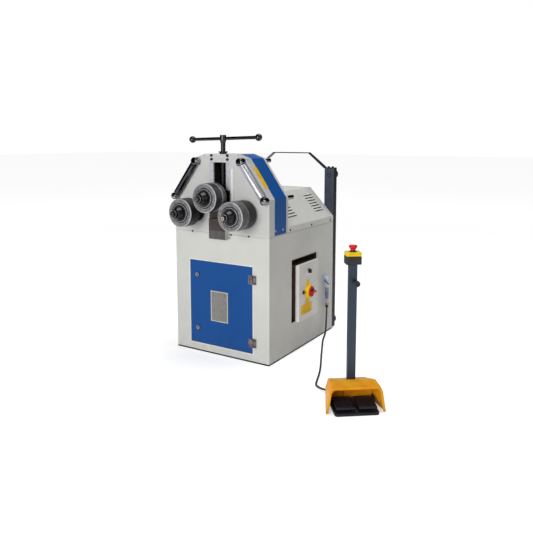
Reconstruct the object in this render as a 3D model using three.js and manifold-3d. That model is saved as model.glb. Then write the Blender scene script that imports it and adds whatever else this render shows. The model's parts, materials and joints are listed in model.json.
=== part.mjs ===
// Ring roller: three section-bending rolls on a sheet-steel cabinet, with a
// screw-fed top roll, a gear train for the lower rolls and a foot pedal station.
// Millimetres. +Z is up, the front faces -Y, and the origin is on the floor
// under the centre of the cabinet.
import * as THREE from "three";
import { mergeVertices } from "three/addons/utils/BufferGeometryUtils.js";
import Module from "manifold-3d";

const wasm = await Module();
wasm.setup();

// Shared clearances and facet counts
const seatGap = 0.3;
const runGap = 0.4;
const overrun = 5;
const fineSides = 28;
const midSides = 16;
const smallSides = 10;
const ballRings = 7;
const quarter = Math.PI / 2;

// Gear train: it sets the spacing of the lower rolls, and so the machine's width
const gearModule = 5;
const gearTeeth = 42;
const pinionTeeth = 26;
const pinionDrop = 26;
const gearSideRoom = 42;
const gearRadius = (gearModule * gearTeeth) / 2;
const pinionRadius = (gearModule * pinionTeeth) / 2;
const rollX = Math.sqrt((gearRadius + pinionRadius) ** 2 - pinionDrop ** 2);

// Cabinet
const cabinetWidth = 2 * (rollX + gearRadius + gearModule + gearSideRoom);
const cabinetDepth = 780;
const cabinetHeight = 710;
const sheet = 3;
const basePlateThickness = 8;
const deckThickness = 6;
const sideX = cabinetWidth / 2;
const frontY = -cabinetDepth / 2;
const rearY = cabinetDepth / 2;

// Door in the front wall
const doorWidth = 427;
const doorHeight = 485;
const doorBottom = 52;
const doorRight = 212;
const doorGap = 2;
const doorSheet = 2;
const doorFlange = 18;
const doorLeft = doorRight - doorWidth;
const doorTop = doorBottom + doorHeight;

// Vent grille on the door
const ventWidth = 119;
const ventHeight = 178;
const ventCentreX = -10.5;
const ventCentreZ = 284;
const ventFrame = 9;
const ventThickness = 3;
const ventRecess = 1;
const ventColumns = 5;
const ventRows = 9;
const ventBarShare = 0.4;
const ventLap = 4;

// Quarter-turn door locks
const lockX = -163;
const lockUpperZ = 455;
const lockLowerZ = 141;
const lockHeadRadius = 12;
const lockHeadProud = 6;
const lockBodyRadius = 8;
const lockBodyLength = 14;
const lockKeyWidth = 3;
const lockKeyDepth = 3;
const camLength = 70;
const camWidth = 16;
const camThickness = 3;
const camSetback = 5;

// Door hinges
const hingeHeight = 50;
const hingeLeafWidth = 25;
const hingeLeafThickness = 5;
const hingeBarrelRadius = 6.5;
const hingePinRadius = 3;
const hingeUpperZ = 468;
const hingeLowerZ = 113;
const hingeMiddleShare = 0.4;
const hingePinX = doorRight + doorGap / 2;
const hingePinY = frontY - seatGap - hingeBarrelRadius;

// Opening in the right wall and the switch enclosure that stands in it
const sideOpeningFront = -145;
const sideOpeningRear = 154;
const sideOpeningBottom = 179;
const sideOpeningTop = 544;
const lidWidth = 240;
const lidHeight = 333;
const lidDepth = 16;
const lidCentreY = 11;
const lidBottom = 178;
const lidInset = 5;
const lidTop = lidBottom + lidHeight;
const boxDepth = 142;
const boxProud = 12;
const boxSheet = 2;
const boxLip = 12;
const gearPlateThickness = 4;
const gearPlateMargin = 14;
const contactorDepth = 55;
const contactorWidth = 45;
const contactorHeight = 80;
const contactorPitch = 56;
const contactorCount = 3;
const terminalDepth = 30;
const terminalHeight = 26;
const lidHingeHeight = 30;
const lidHingeRadius = 4;
const boxFrontX = sideX + boxProud;
const lidBackX = boxFrontX + seatGap;
const lidFaceX = lidBackX + lidDepth;

// Controls on the enclosure lid
const switchY = 1;
const switchZ = 339;
const switchBaseRadius = 34;
const switchBaseProud = 14;
const switchKnobRadius = 25;
const switchKnobDepth = 10;
const switchGripWidth = 13;
const switchGripDepth = 20;
const selectorY = 8;
const selectorDrop = 51;
const selectorRadius = 12;
const selectorDepth = 9;
const selectorGripWidth = 6;
const selectorGripDepth = 9;
const selectorZ = lidTop - selectorDrop;
const latchY = -58;
const latchZ = 343;
const latchHeadRadius = 10;
const latchHeadDepth = 5;
const latchBodyRadius = 7;
const latchCamLength = 42;
const latchCamWidth = 14;
const latchCamThickness = 3;

// Head: a thick front plate and a rear plate joined by a folded band
const shoulderRise = 198;
const upperShoulderRise = 412;
const headRise = 435;
const upperShoulderHalf = 170;
const crownHalf = 105;
const frontPlateThickness = 56;
const rearPlateThickness = 20;
const headDepth = 200;
const bandThickness = 4;
const headTopZ = cabinetHeight + headRise;
const shoulderZ = cabinetHeight + shoulderRise;
const upperShoulderZ = cabinetHeight + upperShoulderRise;
const frontPlateBackY = frontY + frontPlateThickness;
const rearPlateBackY = frontY + headDepth;
const rearPlateFrontY = rearPlateBackY - rearPlateThickness;

// Rolls
const lowerRollRise = 114;
const topRollRise = 90;
const rollRadius = 79;
const rollLength = 134;
const rollBoreRadius = 25;
const leftRollLength = 82;
const topRollLength = 100;
const rollFrontRing = 57;
const rollSpacerRadius = 42;
const rollGroove = 5;
const rollGrooveWidth = 4;
const rollChamfer = 2.5;
const hubRingRadius = 47;
const hubRingProud = 3;
const faceGrooveWidth = 5.5;
const faceGrooveDepth = 4;
const bearingProud = 7.5;
const collarThickness = 2.2;
const collarRadius = 33;
const lowerRollZ = cabinetHeight + lowerRollRise;
const topRollZ = lowerRollZ + topRollRise;
const collarRearY = frontY - bearingProud - seatGap;
const rollRearY = collarRearY - collarThickness - seatGap;
const rollFrontY = rollRearY - rollLength;

// Roll shafts and their lock nuts
const shaftThreadRadius = 20;
const shaftTipRadius = 12;
const shaftTipLength = 12;
const shaftThreadLength = 50;
const shaftCentreHole = 4;
const shaftCentreDepth = 8;
const nutRearRadius = 37;
const nutNoseRadius = 25;
const nutBandLength = 12;
const nutLength = 38;
const shaftThreadStartY = rollFrontY - hubRingProud - seatGap;
const shaftTipStartY = shaftThreadStartY - shaftThreadLength;
const shaftTipY = shaftTipStartY - shaftTipLength;

// Bearings of the lower rolls in the front plate
const bearingRadius = 55;
const bearingFlangeRadius = 62;

// Gears between the plates, on the shafts of the lower rolls and on the pinion's
const gearWidth = 40;
const gearSetback = 44;
const pinionShaftRadius = 18;
const pinionFrontSetback = 2;
const pinionRearReach = 60;
const backlash = 0.7;
const pressureAngle = (20 * Math.PI) / 180;
const dedendumShare = 1.25;
const gearFrontY = frontPlateBackY + gearSetback;
const pinionZ = lowerRollZ - pinionDrop;
const shaftRearReach = 4;

// Slide, its guide strips and the slot that it runs in
const slotHalf = 42;
const slotFootRise = 120;
const slotCrown = 45;
const gibWidth = 24;
const gibDepth = 10;
const gibProud = 1;
const slideBelowRoll = 46;
const slideAboveRoll = 64;
const slideFlangeHalf = 69;
const slideFlangeBelow = 32;
const slideFlangeAbove = 34;
const slideRearFlangeHalf = 60;
const slideRearFlangeThickness = 12;
const slideRearReach = 34;
const slotBottomZ = cabinetHeight + slotFootRise;
const slotTopZ = headTopZ - slotCrown;
const slideRearY = frontPlateBackY + slideRearReach;
const slideFaceY = frontY - bearingProud;
const slideFlangeBackY = frontY - gibProud - seatGap;

// Cover at the foot of the slot
const coverHalf = 55;
const coverDrop = 33;
const coverRise = 80;
const coverDepth = 32;
const coverSheet = 3;
const tongueLap = 15;
const coverBottomZ = cabinetHeight - coverDrop;
const coverTopZ = cabinetHeight + coverRise;
const tongueTopZ = slotBottomZ + tongueLap;

// Feed spindle and T-handle
const spindleSetback = 34;
const spindleRadius = 13;
const spindleSocketDepth = 25;
const spindleNutRadius = 17;
const spindleNutNeck = 7;
const spindleNutFlange = 8;
const spindleNutCollarWall = 3;
const spindleNutFlangeRadius = 26.5;
const handleHubRadius = 17.5;
const handleRise = 60;
const handleHubHeight = 45;
const handleHubChamfer = 5;
const handleSocketDepth = 12;
const handleBarRise = 25;
const handleBarRadius = 8;
const handleSpan = 448;
const handleBarShift = 10;
const handleBallRadius = 18.5;
const spindleY = frontY + spindleSetback;
const handleHubBottomZ = headTopZ + handleRise;
const handleBarZ = handleHubBottomZ + handleBarRise;

// Side guides on the sloping shoulders
const guideUpperInset = 18;
const guideUpperDrop = 17;
const guideLowerInset = 18;
const guideLowerDrop = 5;
const guideProud = 21;
const guideSleeveRadius = 17;
const guidePinRadius = 8;
const guideUpperEyeRadius = 22;
const guideLowerEyeRadius = 20;
const guideEyeDepth = 40;
const guideEyeChamfer = 6;
const guideStudRadius = 13;
const guideStudRearReach = 76;
const guidePinEntry = 9;
const guideUpperX = upperShoulderHalf - guideUpperInset;
const guideUpperZ = upperShoulderZ - guideUpperDrop;
const guideLowerX = sideX - guideLowerInset;
const guideLowerZ = shoulderZ - guideLowerDrop;

// Drive under the rear hood
const gearboxHalf = 75;
const gearboxLength = 150;
const gearboxRise = 150;
const gearboxFoot = 12;
const gearboxFootHalf = 95;
const motorRise = 82;
const motorRadius = 72;
const motorLength = 240;
const motorFinCount = 10;
const motorFinHeight = 7;
const motorFinWidth = 4;
const motorCowlLength = 50;
const motorCradleLength = 90;
const motorCowlRadius = 78;
const pinionBoreDepth = 65;

// Rear hood
const hoodFoldRise = 32;
const hoodTopRise = 208;
const hoodTopHalf = 154;
const hoodSheet = 2;
const louvreRows = 7;
const louvreLength = 112;
const louvreHeight = 6;
const louvreEndRoom = 63;
const louvreFirstRise = 78;
const louvreLastRise = 168;

// Rear posts and arch
const postWidth = 66;
const postDepth = 44;
const postWall = 3;
const postBottomZ = 10;
const postRise = 331;
const puckRadius = 29;
const puckThickness = 30;
const puckDrop = 37;
const puckLowerZ = 48;
const archThickness = 6;
const archWidth = 40;
const archCornerRun = 120;
const archRise = 100;
const postTopZ = cabinetHeight + postRise;
const puckUpperZ = postTopZ - puckDrop;
const archTopZ = postTopZ + archRise;
const postFrontY = rearY + seatGap;
const postBackY = postFrontY + postDepth;
const postInnerX = sideX - postWidth;
const archCornerHalf = postInnerX - archCornerRun;

// Socket and plug of the pedal cord
const socketSetback = 122;
const socketZ = 362;
const socketFlange = 46;
const socketFlangeThickness = 4;
const socketRadius = 20;
const socketLength = 3;
const plugStubRadius = 13;
const plugDrop = 166;
const plugTopRadius = 14;
const plugTipRadius = 9;
const plugSteps = 4;
const plugStepShare = 0.86;
const glandRadius = 13;
const glandLength = 22;
const cordRadius = 5.5;
const cordStraight = 12;
const plugX = sideX + seatGap + socketFlangeThickness + socketLength + seatGap + plugTopRadius;
const socketY = rearY - socketSetback;
const plugBottomZ = socketZ - plugDrop;
const cordStartZ = plugBottomZ - glandLength - seatGap;

// Pedal station: its own frame has its origin at the middle of the base's front edge
const stationX = 962;
const stationY = -681;
const stationTurn = (37.5 * Math.PI) / 180;
const stationBaseHalf = 102;
const stationBaseDepth = 180;
const stationBaseHeight = 12;
const stationBaseCorner = 14;
const stationRibHalf = 6;
const stationRibFront = 10;
const stationRibFrontHeight = 16;
const stationRibPeak = 100;
const stationRibHeight = 44;
const stationRibRearRoom = 10;
const stationEarThickness = 5;
const stationEarLength = 24;
const stationEarHeight = 42;
const stationHousingDepth = 36;
const stationHousingHeight = 16;
const stationHousingHalf = 88;
const stationHousingFront = stationBaseDepth - stationHousingDepth;
const stationRibRear = stationHousingFront - stationRibRearRoom;
const pedalPinRoom = 24;
const pedalPinZ = 33;
const pedalPinRadius = 3;
const pedalHubRadius = 7;
const pedalFront = 12;
const pedalThickness = 9;
const pedalFrontZ = 26;
const pedalSideGap = 4;
const pedalTreadCount = 6;
const pedalTreadHeight = 1.5;
const pedalTreadWidth = 5;
const pedalTreadPitch = 15;
const pedalPinDepth = stationHousingFront - pedalPinRoom;
const stationGlandInset = 18;
const stationGlandX = stationGlandInset - stationBaseHalf;
const stationGlandZ = 15;
const stationGlandRadius = 7;
const stationGlandLength = 14;

// Pedal guard
const guardWall = 4;
const guardFrontDepth = 30;
const guardFlare = 37;
const guardHipInset = 16;
const guardHipZ = 97;
const guardLipInset = 12;
const guardLipZ = 121;
const guardCreaseDepth = 100;
const guardCreaseInset = 4;
const guardCreaseZ = 126.6;
const guardRearRoom = 55;
const guardGlandRoom = 14;
const guardRearHipOutset = 3;
const guardRearHipZ = 40;
const guardRearInset = 13;
const guardRearZ = 84;
const guardLipWidth = 11;
const guardCordHoleRadius = 9;
const guardBossHalf = 34;
const guardBossSetback = 4;
const guardBossDepth = 32;
const guardFootHalf = stationBaseHalf + guardFlare;
const guardHipHalf = guardFootHalf - guardHipInset;
const guardLipHalf = guardHipHalf - guardLipInset;
const guardCreaseHalf = guardLipHalf - guardCreaseInset;
const guardRearDepth = stationBaseDepth + guardRearRoom;
const guardRearFootHalf = guardGlandRoom - stationGlandX;
const guardRearHipHalf = guardRearFootHalf + guardRearHipOutset;
const guardRearHalf = guardRearHipHalf - guardRearInset;

// Station post, emergency stop box and button
const stationPostHalf = 20;
const stationPostHalfDepth = 10;
const stationPostWall = 2;
const stationPostX = 4;
const stationPostSetback = 24;
const stationPostTopZ = 659;
const postGlandSide = 8;
const postGlandZ = 578;
const postGlandRadius = 7;
const postGlandLength = 52;
const postGlandKnobRadius = 14;
const postGlandKnobLength = 16;
const estopHalfWidth = 36;
const estopHalfDepth = 27;
const estopBodyHeight = 39;
const estopLidHeight = 19;
const estopLidInset = 2;
const estopBezelRadius = 15;
const estopBezelHeight = 3;
const estopStemRadius = 11;
const estopStemDepth = 26;
const estopStemRise = 5;
const estopTravel = 5;
const estopFootRadius = 13;
const estopHeadRadius = 20;
const estopHeadHeight = 22;
const estopFlareHeight = 14;
const estopCrownHeight = 5;
const estopCrownShare = 0.85;
const stationPostDepth = stationBaseDepth - stationPostSetback;

// Cord route on its way over the floor, after the drop from the plug
const cordSides = 8;
const cordSteps = 62;
const cordFloorPoints = [
  [342, 262, 105],
  [343, 256, 55],
  [346, 243, 22],
  [352, 222, 9.5],
  [363, 186, 6.4],
  [390, 118, 5.9],
  [431, 28, 5.9],
  [494, -109, 5.9],
  [569, -269, 5.9],
  [607, -362, 5.9],
  [632, -432, 5.9],
  [656, -488, 6.3],
  [684, -510, 8],
  [707, -522.5, 11],
  [729, -532, 14],
];

// Colours and surfaces
const finishes = {
  greyPaint: { color: 0xd8d8d4, roughness: 0.5, metalness: 0 },
  hoodPaint: { color: 0xc6c6c3, roughness: 0.55, metalness: 0 },
  bluePaint: { color: 0x215a9b, roughness: 0.45, metalness: 0 },
  slatePaint: { color: 0x373e4e, roughness: 0.5, metalness: 0 },
  orangePlastic: { color: 0xf0a523, roughness: 0.45, metalness: 0 },
  blackPlastic: { color: 0x1a1a1d, roughness: 0.5, metalness: 0 },
  blackSteel: { color: 0x222226, roughness: 0.4, metalness: 0.6 },
  rollSteel: { color: 0x6d6b73, roughness: 0.35, metalness: 0.85 },
  brightSteel: { color: 0xc4c6ca, roughness: 0.25, metalness: 0.95 },
  chrome: { color: 0xdfe2e6, roughness: 0.12, metalness: 1 },
  zincSheet: { color: 0x8c8c8a, roughness: 0.5, metalness: 0.6 },
  castPaint: { color: 0x5a6068, roughness: 0.6, metalness: 0.1 },
  redPlastic: { color: 0xd71e2d, roughness: 0.35, metalness: 0 },
  yellowPlastic: { color: 0xf7d82b, roughness: 0.4, metalness: 0 },
  connectorGrey: { color: 0x8795a8, roughness: 0.5, metalness: 0.1 },
  cordRubber: { color: 0x151517, roughness: 0.7, metalness: 0 },
};

// Triangles of a closed surface, without the empty ones at a pole.
function triangles(index, reversed) {
  const kept = [];
  for (let i = 0; i < index.length; i += 3) {
    const [a, b, c] = index.subarray(i, i + 3);
    if (a !== b && b !== c && c !== a) kept.push(a, reversed ? c : b, reversed ? b : c);
  }
  return new Uint32Array(kept);
}

// A three.js geometry as a solid that faces out, whichever way it was drawn.
function solid(geometry) {
  const bare = geometry.clone();
  bare.deleteAttribute("normal");
  bare.deleteAttribute("uv");
  const merged = mergeVertices(bare);
  const vertProperties = merged.attributes.position.array;
  const made = [false, true].map(
    (reversed) =>
      new wasm.Manifold(
        new wasm.Mesh({ numProp: 3, vertProperties, triVerts: triangles(merged.index.array, reversed) }),
      ),
  );
  return made.find((one) => one.volume() > 0);
}

function join(...bodies) {
  return bodies.reduce((sum, body) => sum.add(body));
}

function cut(body, ...tools) {
  return tools.reduce((rest, tool) => rest.subtract(tool), body);
}

// A block between two limits on each axis.
function block([x0, x1], [y0, y1], [z0, z1]) {
  const geometry = new THREE.BoxGeometry(x1 - x0, y1 - y0, z1 - z0);
  geometry.translate((x0 + x1) / 2, (y0 + y1) / 2, (z0 + z1) / 2);
  return solid(geometry);
}

const axisTurns = {
  x: (geometry) => geometry.rotateZ(-quarter),
  y: (geometry) => geometry,
  z: (geometry) => geometry.rotateX(quarter),
};

// A place on an axis at a distance along it: x, y or z, then the other two.
function onAxis(axis, along, [a, b]) {
  return { x: [along, a, b], y: [a, along, b], z: [a, b, along] }[axis];
}

function rod(axis, radius, [low, high], centre, sides = midSides) {
  const geometry = axisTurns[axis](new THREE.CylinderGeometry(radius, radius, high - low, sides));
  geometry.translate(...onAxis(axis, (low + high) / 2, centre));
  return solid(geometry);
}

// The corner radius of a round hole whose flats, not its corners, lie at the radius.
function clearRadius(radius, sides = midSides) {
  return radius / Math.cos(Math.PI / sides);
}

function bore(axis, radius, span, centre, sides = midSides) {
  return rod(axis, clearRadius(radius, sides), span, centre, sides);
}

function rodBetween(from, to, radius, sides = midSides) {
  const run = new THREE.Vector3().subVectors(to, from);
  const geometry = new THREE.CylinderGeometry(radius, radius, run.length(), sides);
  const upright = new THREE.Vector3(0, 1, 0);
  const turn = new THREE.Quaternion().setFromUnitVectors(upright, run.clone().normalize());
  geometry.applyQuaternion(turn);
  geometry.translate(...from.clone().addScaledVector(run, 1 / 2).toArray());
  return solid(geometry);
}

// A profile of radius and place along the axis, turned round it.
function turned(axis, profile, centre, sides = fineSides) {
  const points = profile.map(([radius, along]) => new THREE.Vector2(radius, along));
  const geometry = axisTurns[axis](new THREE.LatheGeometry(points, sides));
  geometry.translate(...onAxis(axis, 0, centre));
  return solid(geometry);
}

function extruded(outline, depth) {
  const shape = new THREE.Shape(outline.map(([a, b]) => new THREE.Vector2(a, b)));
  return new THREE.ExtrudeGeometry(shape, { depth, bevelEnabled: false });
}

// An outline in X and Z, given depth along Y.
function plateXZ(outline, [y0, y1]) {
  const geometry = extruded(outline, y1 - y0);
  geometry.rotateX(quarter);
  geometry.translate(0, y1, 0);
  return solid(geometry);
}

// An outline in Y and Z, given depth along X.
function plateYZ(outline, [x0, x1]) {
  const geometry = extruded(outline, x1 - x0);
  geometry.rotateX(quarter);
  geometry.rotateZ(quarter);
  geometry.translate(x0, 0, 0);
  return solid(geometry);
}

// A convex outline drawn anticlockwise, moved in by a distance on every side.
function inset(outline, distance) {
  return outline.map((point, i) => {
    const before = outline[(i + outline.length - 1) % outline.length];
    const after = outline[(i + 1) % outline.length];
    const lines = [
      [before, point],
      [point, after],
    ].map(([a, b]) => {
      const length = Math.hypot(b[0] - a[0], b[1] - a[1]);
      const normal = [-(b[1] - a[1]) / length, (b[0] - a[0]) / length];
      return { normal, level: normal[0] * a[0] + normal[1] * a[1] + distance };
    });
    const [p, q] = lines;
    const scale = p.normal[0] * q.normal[1] - p.normal[1] * q.normal[0];
    return [
      (p.level * q.normal[1] - q.level * p.normal[1]) / scale,
      (p.normal[0] * q.level - q.normal[0] * p.level) / scale,
    ];
  });
}

// An outline's lowest points moved down, so that a hollow opens downwards.
function openBelow(outline, bottom) {
  const lowest = Math.min(...outline.map(([, z]) => z));
  return outline.map(([a, z]) => [a, z === lowest ? bottom : z]);
}

const machine = new THREE.Group();
const station = new THREE.Group();
station.position.set(stationX, stationY, 0);
station.rotation.z = stationTurn;
machine.add(station);

function place(group, name, body, finish) {
  const { vertProperties, triVerts } = body.getMesh();
  const geometry = new THREE.BufferGeometry();
  geometry.setAttribute("position", new THREE.BufferAttribute(vertProperties, 3));
  geometry.setIndex(new THREE.BufferAttribute(triVerts, 1));
  geometry.computeVertexNormals();
  const mesh = new THREE.Mesh(
    geometry,
    new THREE.MeshStandardMaterial({ ...finishes[finish], flatShading: true }),
  );
  mesh.name = name;
  group.add(mesh);
}

// Cabinet: a floor plate, four welded walls and a deck
function buildCabinet() {
  const wallSpan = [basePlateThickness, cabinetHeight - deckThickness - seatGap];
  const outer = block([-sideX, sideX], [frontY, rearY], wallSpan);
  const inner = block(
    [-sideX + sheet, sideX - sheet],
    [frontY + sheet, rearY - sheet],
    [wallSpan[0] - overrun, wallSpan[1] + overrun],
  );
  const doorway = block(
    [doorLeft - doorGap, doorRight + doorGap],
    [frontY - overrun, frontY + sheet + overrun],
    [doorBottom - doorGap, doorTop + doorGap],
  );
  const sideOpening = block(
    [sideX - sheet - overrun, sideX + overrun],
    [sideOpeningFront, sideOpeningRear],
    [sideOpeningBottom, sideOpeningTop],
  );
  const footprint = [
    [-sideX, sideX],
    [frontY, rearY],
  ];
  const deckSpan = [cabinetHeight - deckThickness, cabinetHeight];
  place(machine, "base_plate", block(...footprint, [0, basePlateThickness - seatGap]), "blackSteel");
  place(machine, "cabinet_wrap", cut(outer, inner, doorway, sideOpening), "greyPaint");
  place(machine, "top_deck", block(...footprint, deckSpan), "greyPaint");
}

// Door: a flanged sheet with a window for the grille and notches for the cams
function buildDoor() {
  const skin = block(
    [doorLeft, doorRight],
    [frontY, frontY + doorSheet + doorFlange],
    [doorBottom, doorTop],
  );
  const hollow = block(
    [doorLeft + doorSheet, doorRight - doorSheet],
    [frontY + doorSheet, frontY + doorSheet + doorFlange + overrun],
    [doorBottom + doorSheet, doorTop - doorSheet],
  );
  const windowCut = block(
    [ventCentreX - ventWidth / 2 + ventLap, ventCentreX + ventWidth / 2 - ventLap],
    [frontY - overrun, frontY + doorSheet + overrun],
    [ventCentreZ - ventHeight / 2 + ventLap, ventCentreZ + ventHeight / 2 - ventLap],
  );
  const throughSkin = [frontY - overrun, frontY + doorSheet + overrun];
  const lockCuts = [lockUpperZ, lockLowerZ].flatMap((z) => [
    bore("y", lockBodyRadius + seatGap, throughSkin, [lockX, z], smallSides),
    block(
      [doorLeft - overrun, doorLeft + doorSheet + overrun],
      [frontY + doorSheet, frontY + doorSheet + doorFlange + overrun],
      [z - camLength, z + camWidth],
    ),
  ]);
  place(machine, "door_panel", cut(skin, hollow, windowCut, ...lockCuts), "bluePaint");
}

// Grille: a frame round a perforated field
function buildVent() {
  const back = frontY - seatGap;
  const front = back - ventThickness;
  const x0 = ventCentreX - ventWidth / 2;
  const z0 = ventCentreZ - ventHeight / 2;
  const fieldWidth = ventWidth - 2 * ventFrame;
  const fieldHeight = ventHeight - 2 * ventFrame;
  const pitchX = fieldWidth / ventColumns;
  const pitchZ = fieldHeight / ventRows;
  const frame = block([x0, x0 + ventWidth], [front, back], [z0, z0 + ventHeight]);
  const field = block(
    [x0 + ventFrame, x0 + ventWidth - ventFrame],
    [front - overrun, front + ventRecess],
    [z0 + ventFrame, z0 + ventHeight - ventFrame],
  );
  const holes = [];
  for (let column = 0; column < ventColumns; column += 1) {
    for (let row = 0; row < ventRows; row += 1) {
      const x = x0 + ventFrame + (column + 0.5) * pitchX;
      const z = z0 + ventFrame + (row + 0.5) * pitchZ;
      const halfX = (pitchX * (1 - ventBarShare)) / 2;
      const halfZ = (pitchZ * (1 - ventBarShare)) / 2;
      holes.push(block([x - halfX, x + halfX], [front - overrun, back + overrun], [z - halfZ, z + halfZ]));
    }
  }
  place(machine, "vent_grille", cut(frame, field, ...holes), "zincSheet");
}

// Door lock: a round head, a body through the door and a cam that hangs down when open
function buildDoorLock(name, z) {
  const headBack = frontY - seatGap;
  const headFront = headBack - lockHeadProud;
  const keyBottom = headFront + lockKeyDepth;
  const head = rod("y", lockHeadRadius, [headFront, headBack], [lockX, z]);
  const body = rod("y", lockBodyRadius, [keyBottom, frontY + lockBodyLength], [lockX, z], smallSides);
  const key = block(
    [lockX - lockHeadRadius / 2, lockX + lockHeadRadius / 2],
    [headFront - overrun, keyBottom],
    [z - lockKeyWidth / 2, z + lockKeyWidth / 2],
  );
  const cam = block(
    [lockX - camWidth / 2, lockX + camWidth / 2],
    [frontY + camSetback, frontY + camSetback + camThickness],
    [z - camLength, z + camWidth / 2],
  );
  place(machine, name, join(cut(head, key), body, cam), "blackSteel");
}

// One leaf of a butt hinge. side is -1 for the door's and 1 for the frame's, which holds the pin.
function hingeLeaf(z, side) {
  const low = z - hingeHeight / 2;
  const high = z + hingeHeight / 2;
  const middle = (hingeHeight * hingeMiddleShare) / 2;
  const clear = hingeBarrelRadius + runGap;
  const span = (a, b) => [side * a, side * b].sort((p, q) => p - q).map((x) => x + hingePinX);
  const leafY = [frontY - seatGap - hingeLeafThickness, frontY - seatGap];
  const leaf = block(span(clear, hingeLeafWidth), leafY, [low, high]);
  const knuckles = side < 0
    ? [[z - middle + seatGap, z + middle - seatGap]]
    : [
        [low, z - middle],
        [z + middle, high],
      ];
  const barrels = knuckles.flatMap((part) => [
    rod("z", hingeBarrelRadius, part, [hingePinX, hingePinY], smallSides),
    block(span(0, clear + overrun), leafY, part),
  ]);
  const whole = join(leaf, ...barrels);
  const pin = rod("z", hingePinRadius, [low, high], [hingePinX, hingePinY], smallSides);
  const pinHole = bore(
    "z",
    hingePinRadius + runGap,
    [low - overrun, high + overrun],
    [hingePinX, hingePinY],
    smallSides,
  );
  return side < 0 ? cut(whole, pinHole) : join(whole, pin);
}

function buildHinges() {
  place(machine, "door_hinge_upper", hingeLeaf(hingeUpperZ, -1), "chrome");
  place(machine, "door_hinge_lower", hingeLeaf(hingeLowerZ, -1), "chrome");
  place(machine, "hinge_leaf_upper", hingeLeaf(hingeUpperZ, 1), "chrome");
  place(machine, "hinge_leaf_lower", hingeLeaf(hingeLowerZ, 1), "chrome");
}

// Enclosure: a lipped box standing on the opening's lower edge, with its switchgear inside
const boxY = [lidCentreY - lidWidth / 2 + lidInset, lidCentreY + lidWidth / 2 - lidInset];
const boxZ = [sideOpeningBottom + seatGap, lidTop - lidInset];
const boxX = [boxFrontX - boxDepth, boxFrontX];
const lidHingeX = boxFrontX - lidHingeRadius;
const lidHingeY = lidCentreY + lidWidth / 2 + lidHingeRadius + seatGap;
const lidHingeZs = [lidBottom + lidHeight / 4, lidTop - lidHeight / 4];

function buildEnclosure() {
  const shell = cut(
    block(boxX, boxY, boxZ),
    block(
      [boxX[0] + boxSheet, boxX[1] - boxSheet],
      [boxY[0] + boxSheet, boxY[1] - boxSheet],
      [boxZ[0] + boxSheet, boxZ[1] - boxSheet],
    ),
    block(
      [boxX[1] - boxSheet - overrun, boxX[1] + overrun],
      [boxY[0] + boxLip, boxY[1] - boxLip],
      [boxZ[0] + boxLip, boxZ[1] - boxLip],
    ),
  );
  const plateX = boxX[0] + boxSheet + gearPlateThickness;
  const plate = block(
    [boxX[0] + boxSheet / 2, plateX],
    [boxY[0] + gearPlateMargin, boxY[1] - gearPlateMargin],
    [boxZ[0] + gearPlateMargin, boxZ[1] - gearPlateMargin],
  );
  const rowZ = boxZ[1] - gearPlateMargin - contactorHeight - gearPlateMargin;
  const contactors = Array.from({ length: contactorCount }, (_, i) => {
    const y = lidCentreY + (i - (contactorCount - 1) / 2) * contactorPitch;
    return block(
      [plateX - gearPlateThickness / 2, plateX + contactorDepth],
      [y - contactorWidth / 2, y + contactorWidth / 2],
      [rowZ, rowZ + contactorHeight],
    );
  });
  const terminals = block(
    [plateX - gearPlateThickness / 2, plateX + terminalDepth],
    [boxY[0] + 2 * gearPlateMargin, boxY[1] - 2 * gearPlateMargin],
    [boxZ[0] + 2 * gearPlateMargin, boxZ[0] + 2 * gearPlateMargin + terminalHeight],
  );
  const hinges = lidHingeZs.flatMap((z) => {
    const part = [z - lidHingeHeight / 2, z - seatGap / 2];
    const pinSpan = [z - lidHingeHeight / 2, z + lidHingeHeight / 2];
    return [
      rod("z", lidHingeRadius, part, [lidHingeX, lidHingeY], smallSides),
      block([lidHingeX, boxFrontX], [boxY[1] - boxSheet / 2, lidHingeY], part),
      rod("z", lidHingeRadius / 2, pinSpan, [lidHingeX, lidHingeY], smallSides),
    ];
  });
  place(machine, "enclosure_box", join(shell, plate, ...contactors, terminals, ...hinges), "greyPaint");
}

// Lid: a shallow tray with the switch's round base on its face
function buildLid() {
  const lidY = [lidCentreY - lidWidth / 2, lidCentreY + lidWidth / 2];
  const tray = cut(
    block([lidBackX, lidFaceX], lidY, [lidBottom, lidTop]),
    block(
      [lidBackX - overrun, lidFaceX - boxSheet],
      [lidY[0] + boxSheet, lidY[1] - boxSheet],
      [lidBottom + boxSheet, lidTop - boxSheet],
    ),
  );
  const baseSpan = [lidFaceX - boxSheet / 2, lidFaceX + switchBaseProud];
  const switchBase = rod("x", switchBaseRadius, baseSpan, [switchY, switchZ], fineSides);
  const ears = lidHingeZs.flatMap((z) => {
    const part = [z + seatGap / 2, z + lidHingeHeight / 2];
    return [
      rod("z", lidHingeRadius, part, [lidHingeX, lidHingeY], smallSides),
      block(
        [lidHingeX, lidBackX + boxSheet],
        [lidHingeY - lidHingeRadius / 2, lidHingeY + lidHingeRadius],
        part,
      ),
      block([lidBackX, lidBackX + boxSheet], [lidY[1] - boxSheet / 2, lidHingeY], part),
    ];
  });
  const pinHoles = lidHingeZs.map((z) =>
    bore(
      "z",
      lidHingeRadius / 2 + seatGap,
      [z - lidHingeHeight, z + lidHingeHeight],
      [lidHingeX, lidHingeY],
      smallSides,
    ),
  );
  const latchHole = bore(
    "x",
    latchBodyRadius + seatGap,
    [lidFaceX - boxSheet - overrun, lidFaceX + overrun],
    [latchY, latchZ],
    smallSides,
  );
  place(machine, "enclosure_lid", cut(join(tray, switchBase, ...ears), ...pinHoles, latchHole), "greyPaint");
}

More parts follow.
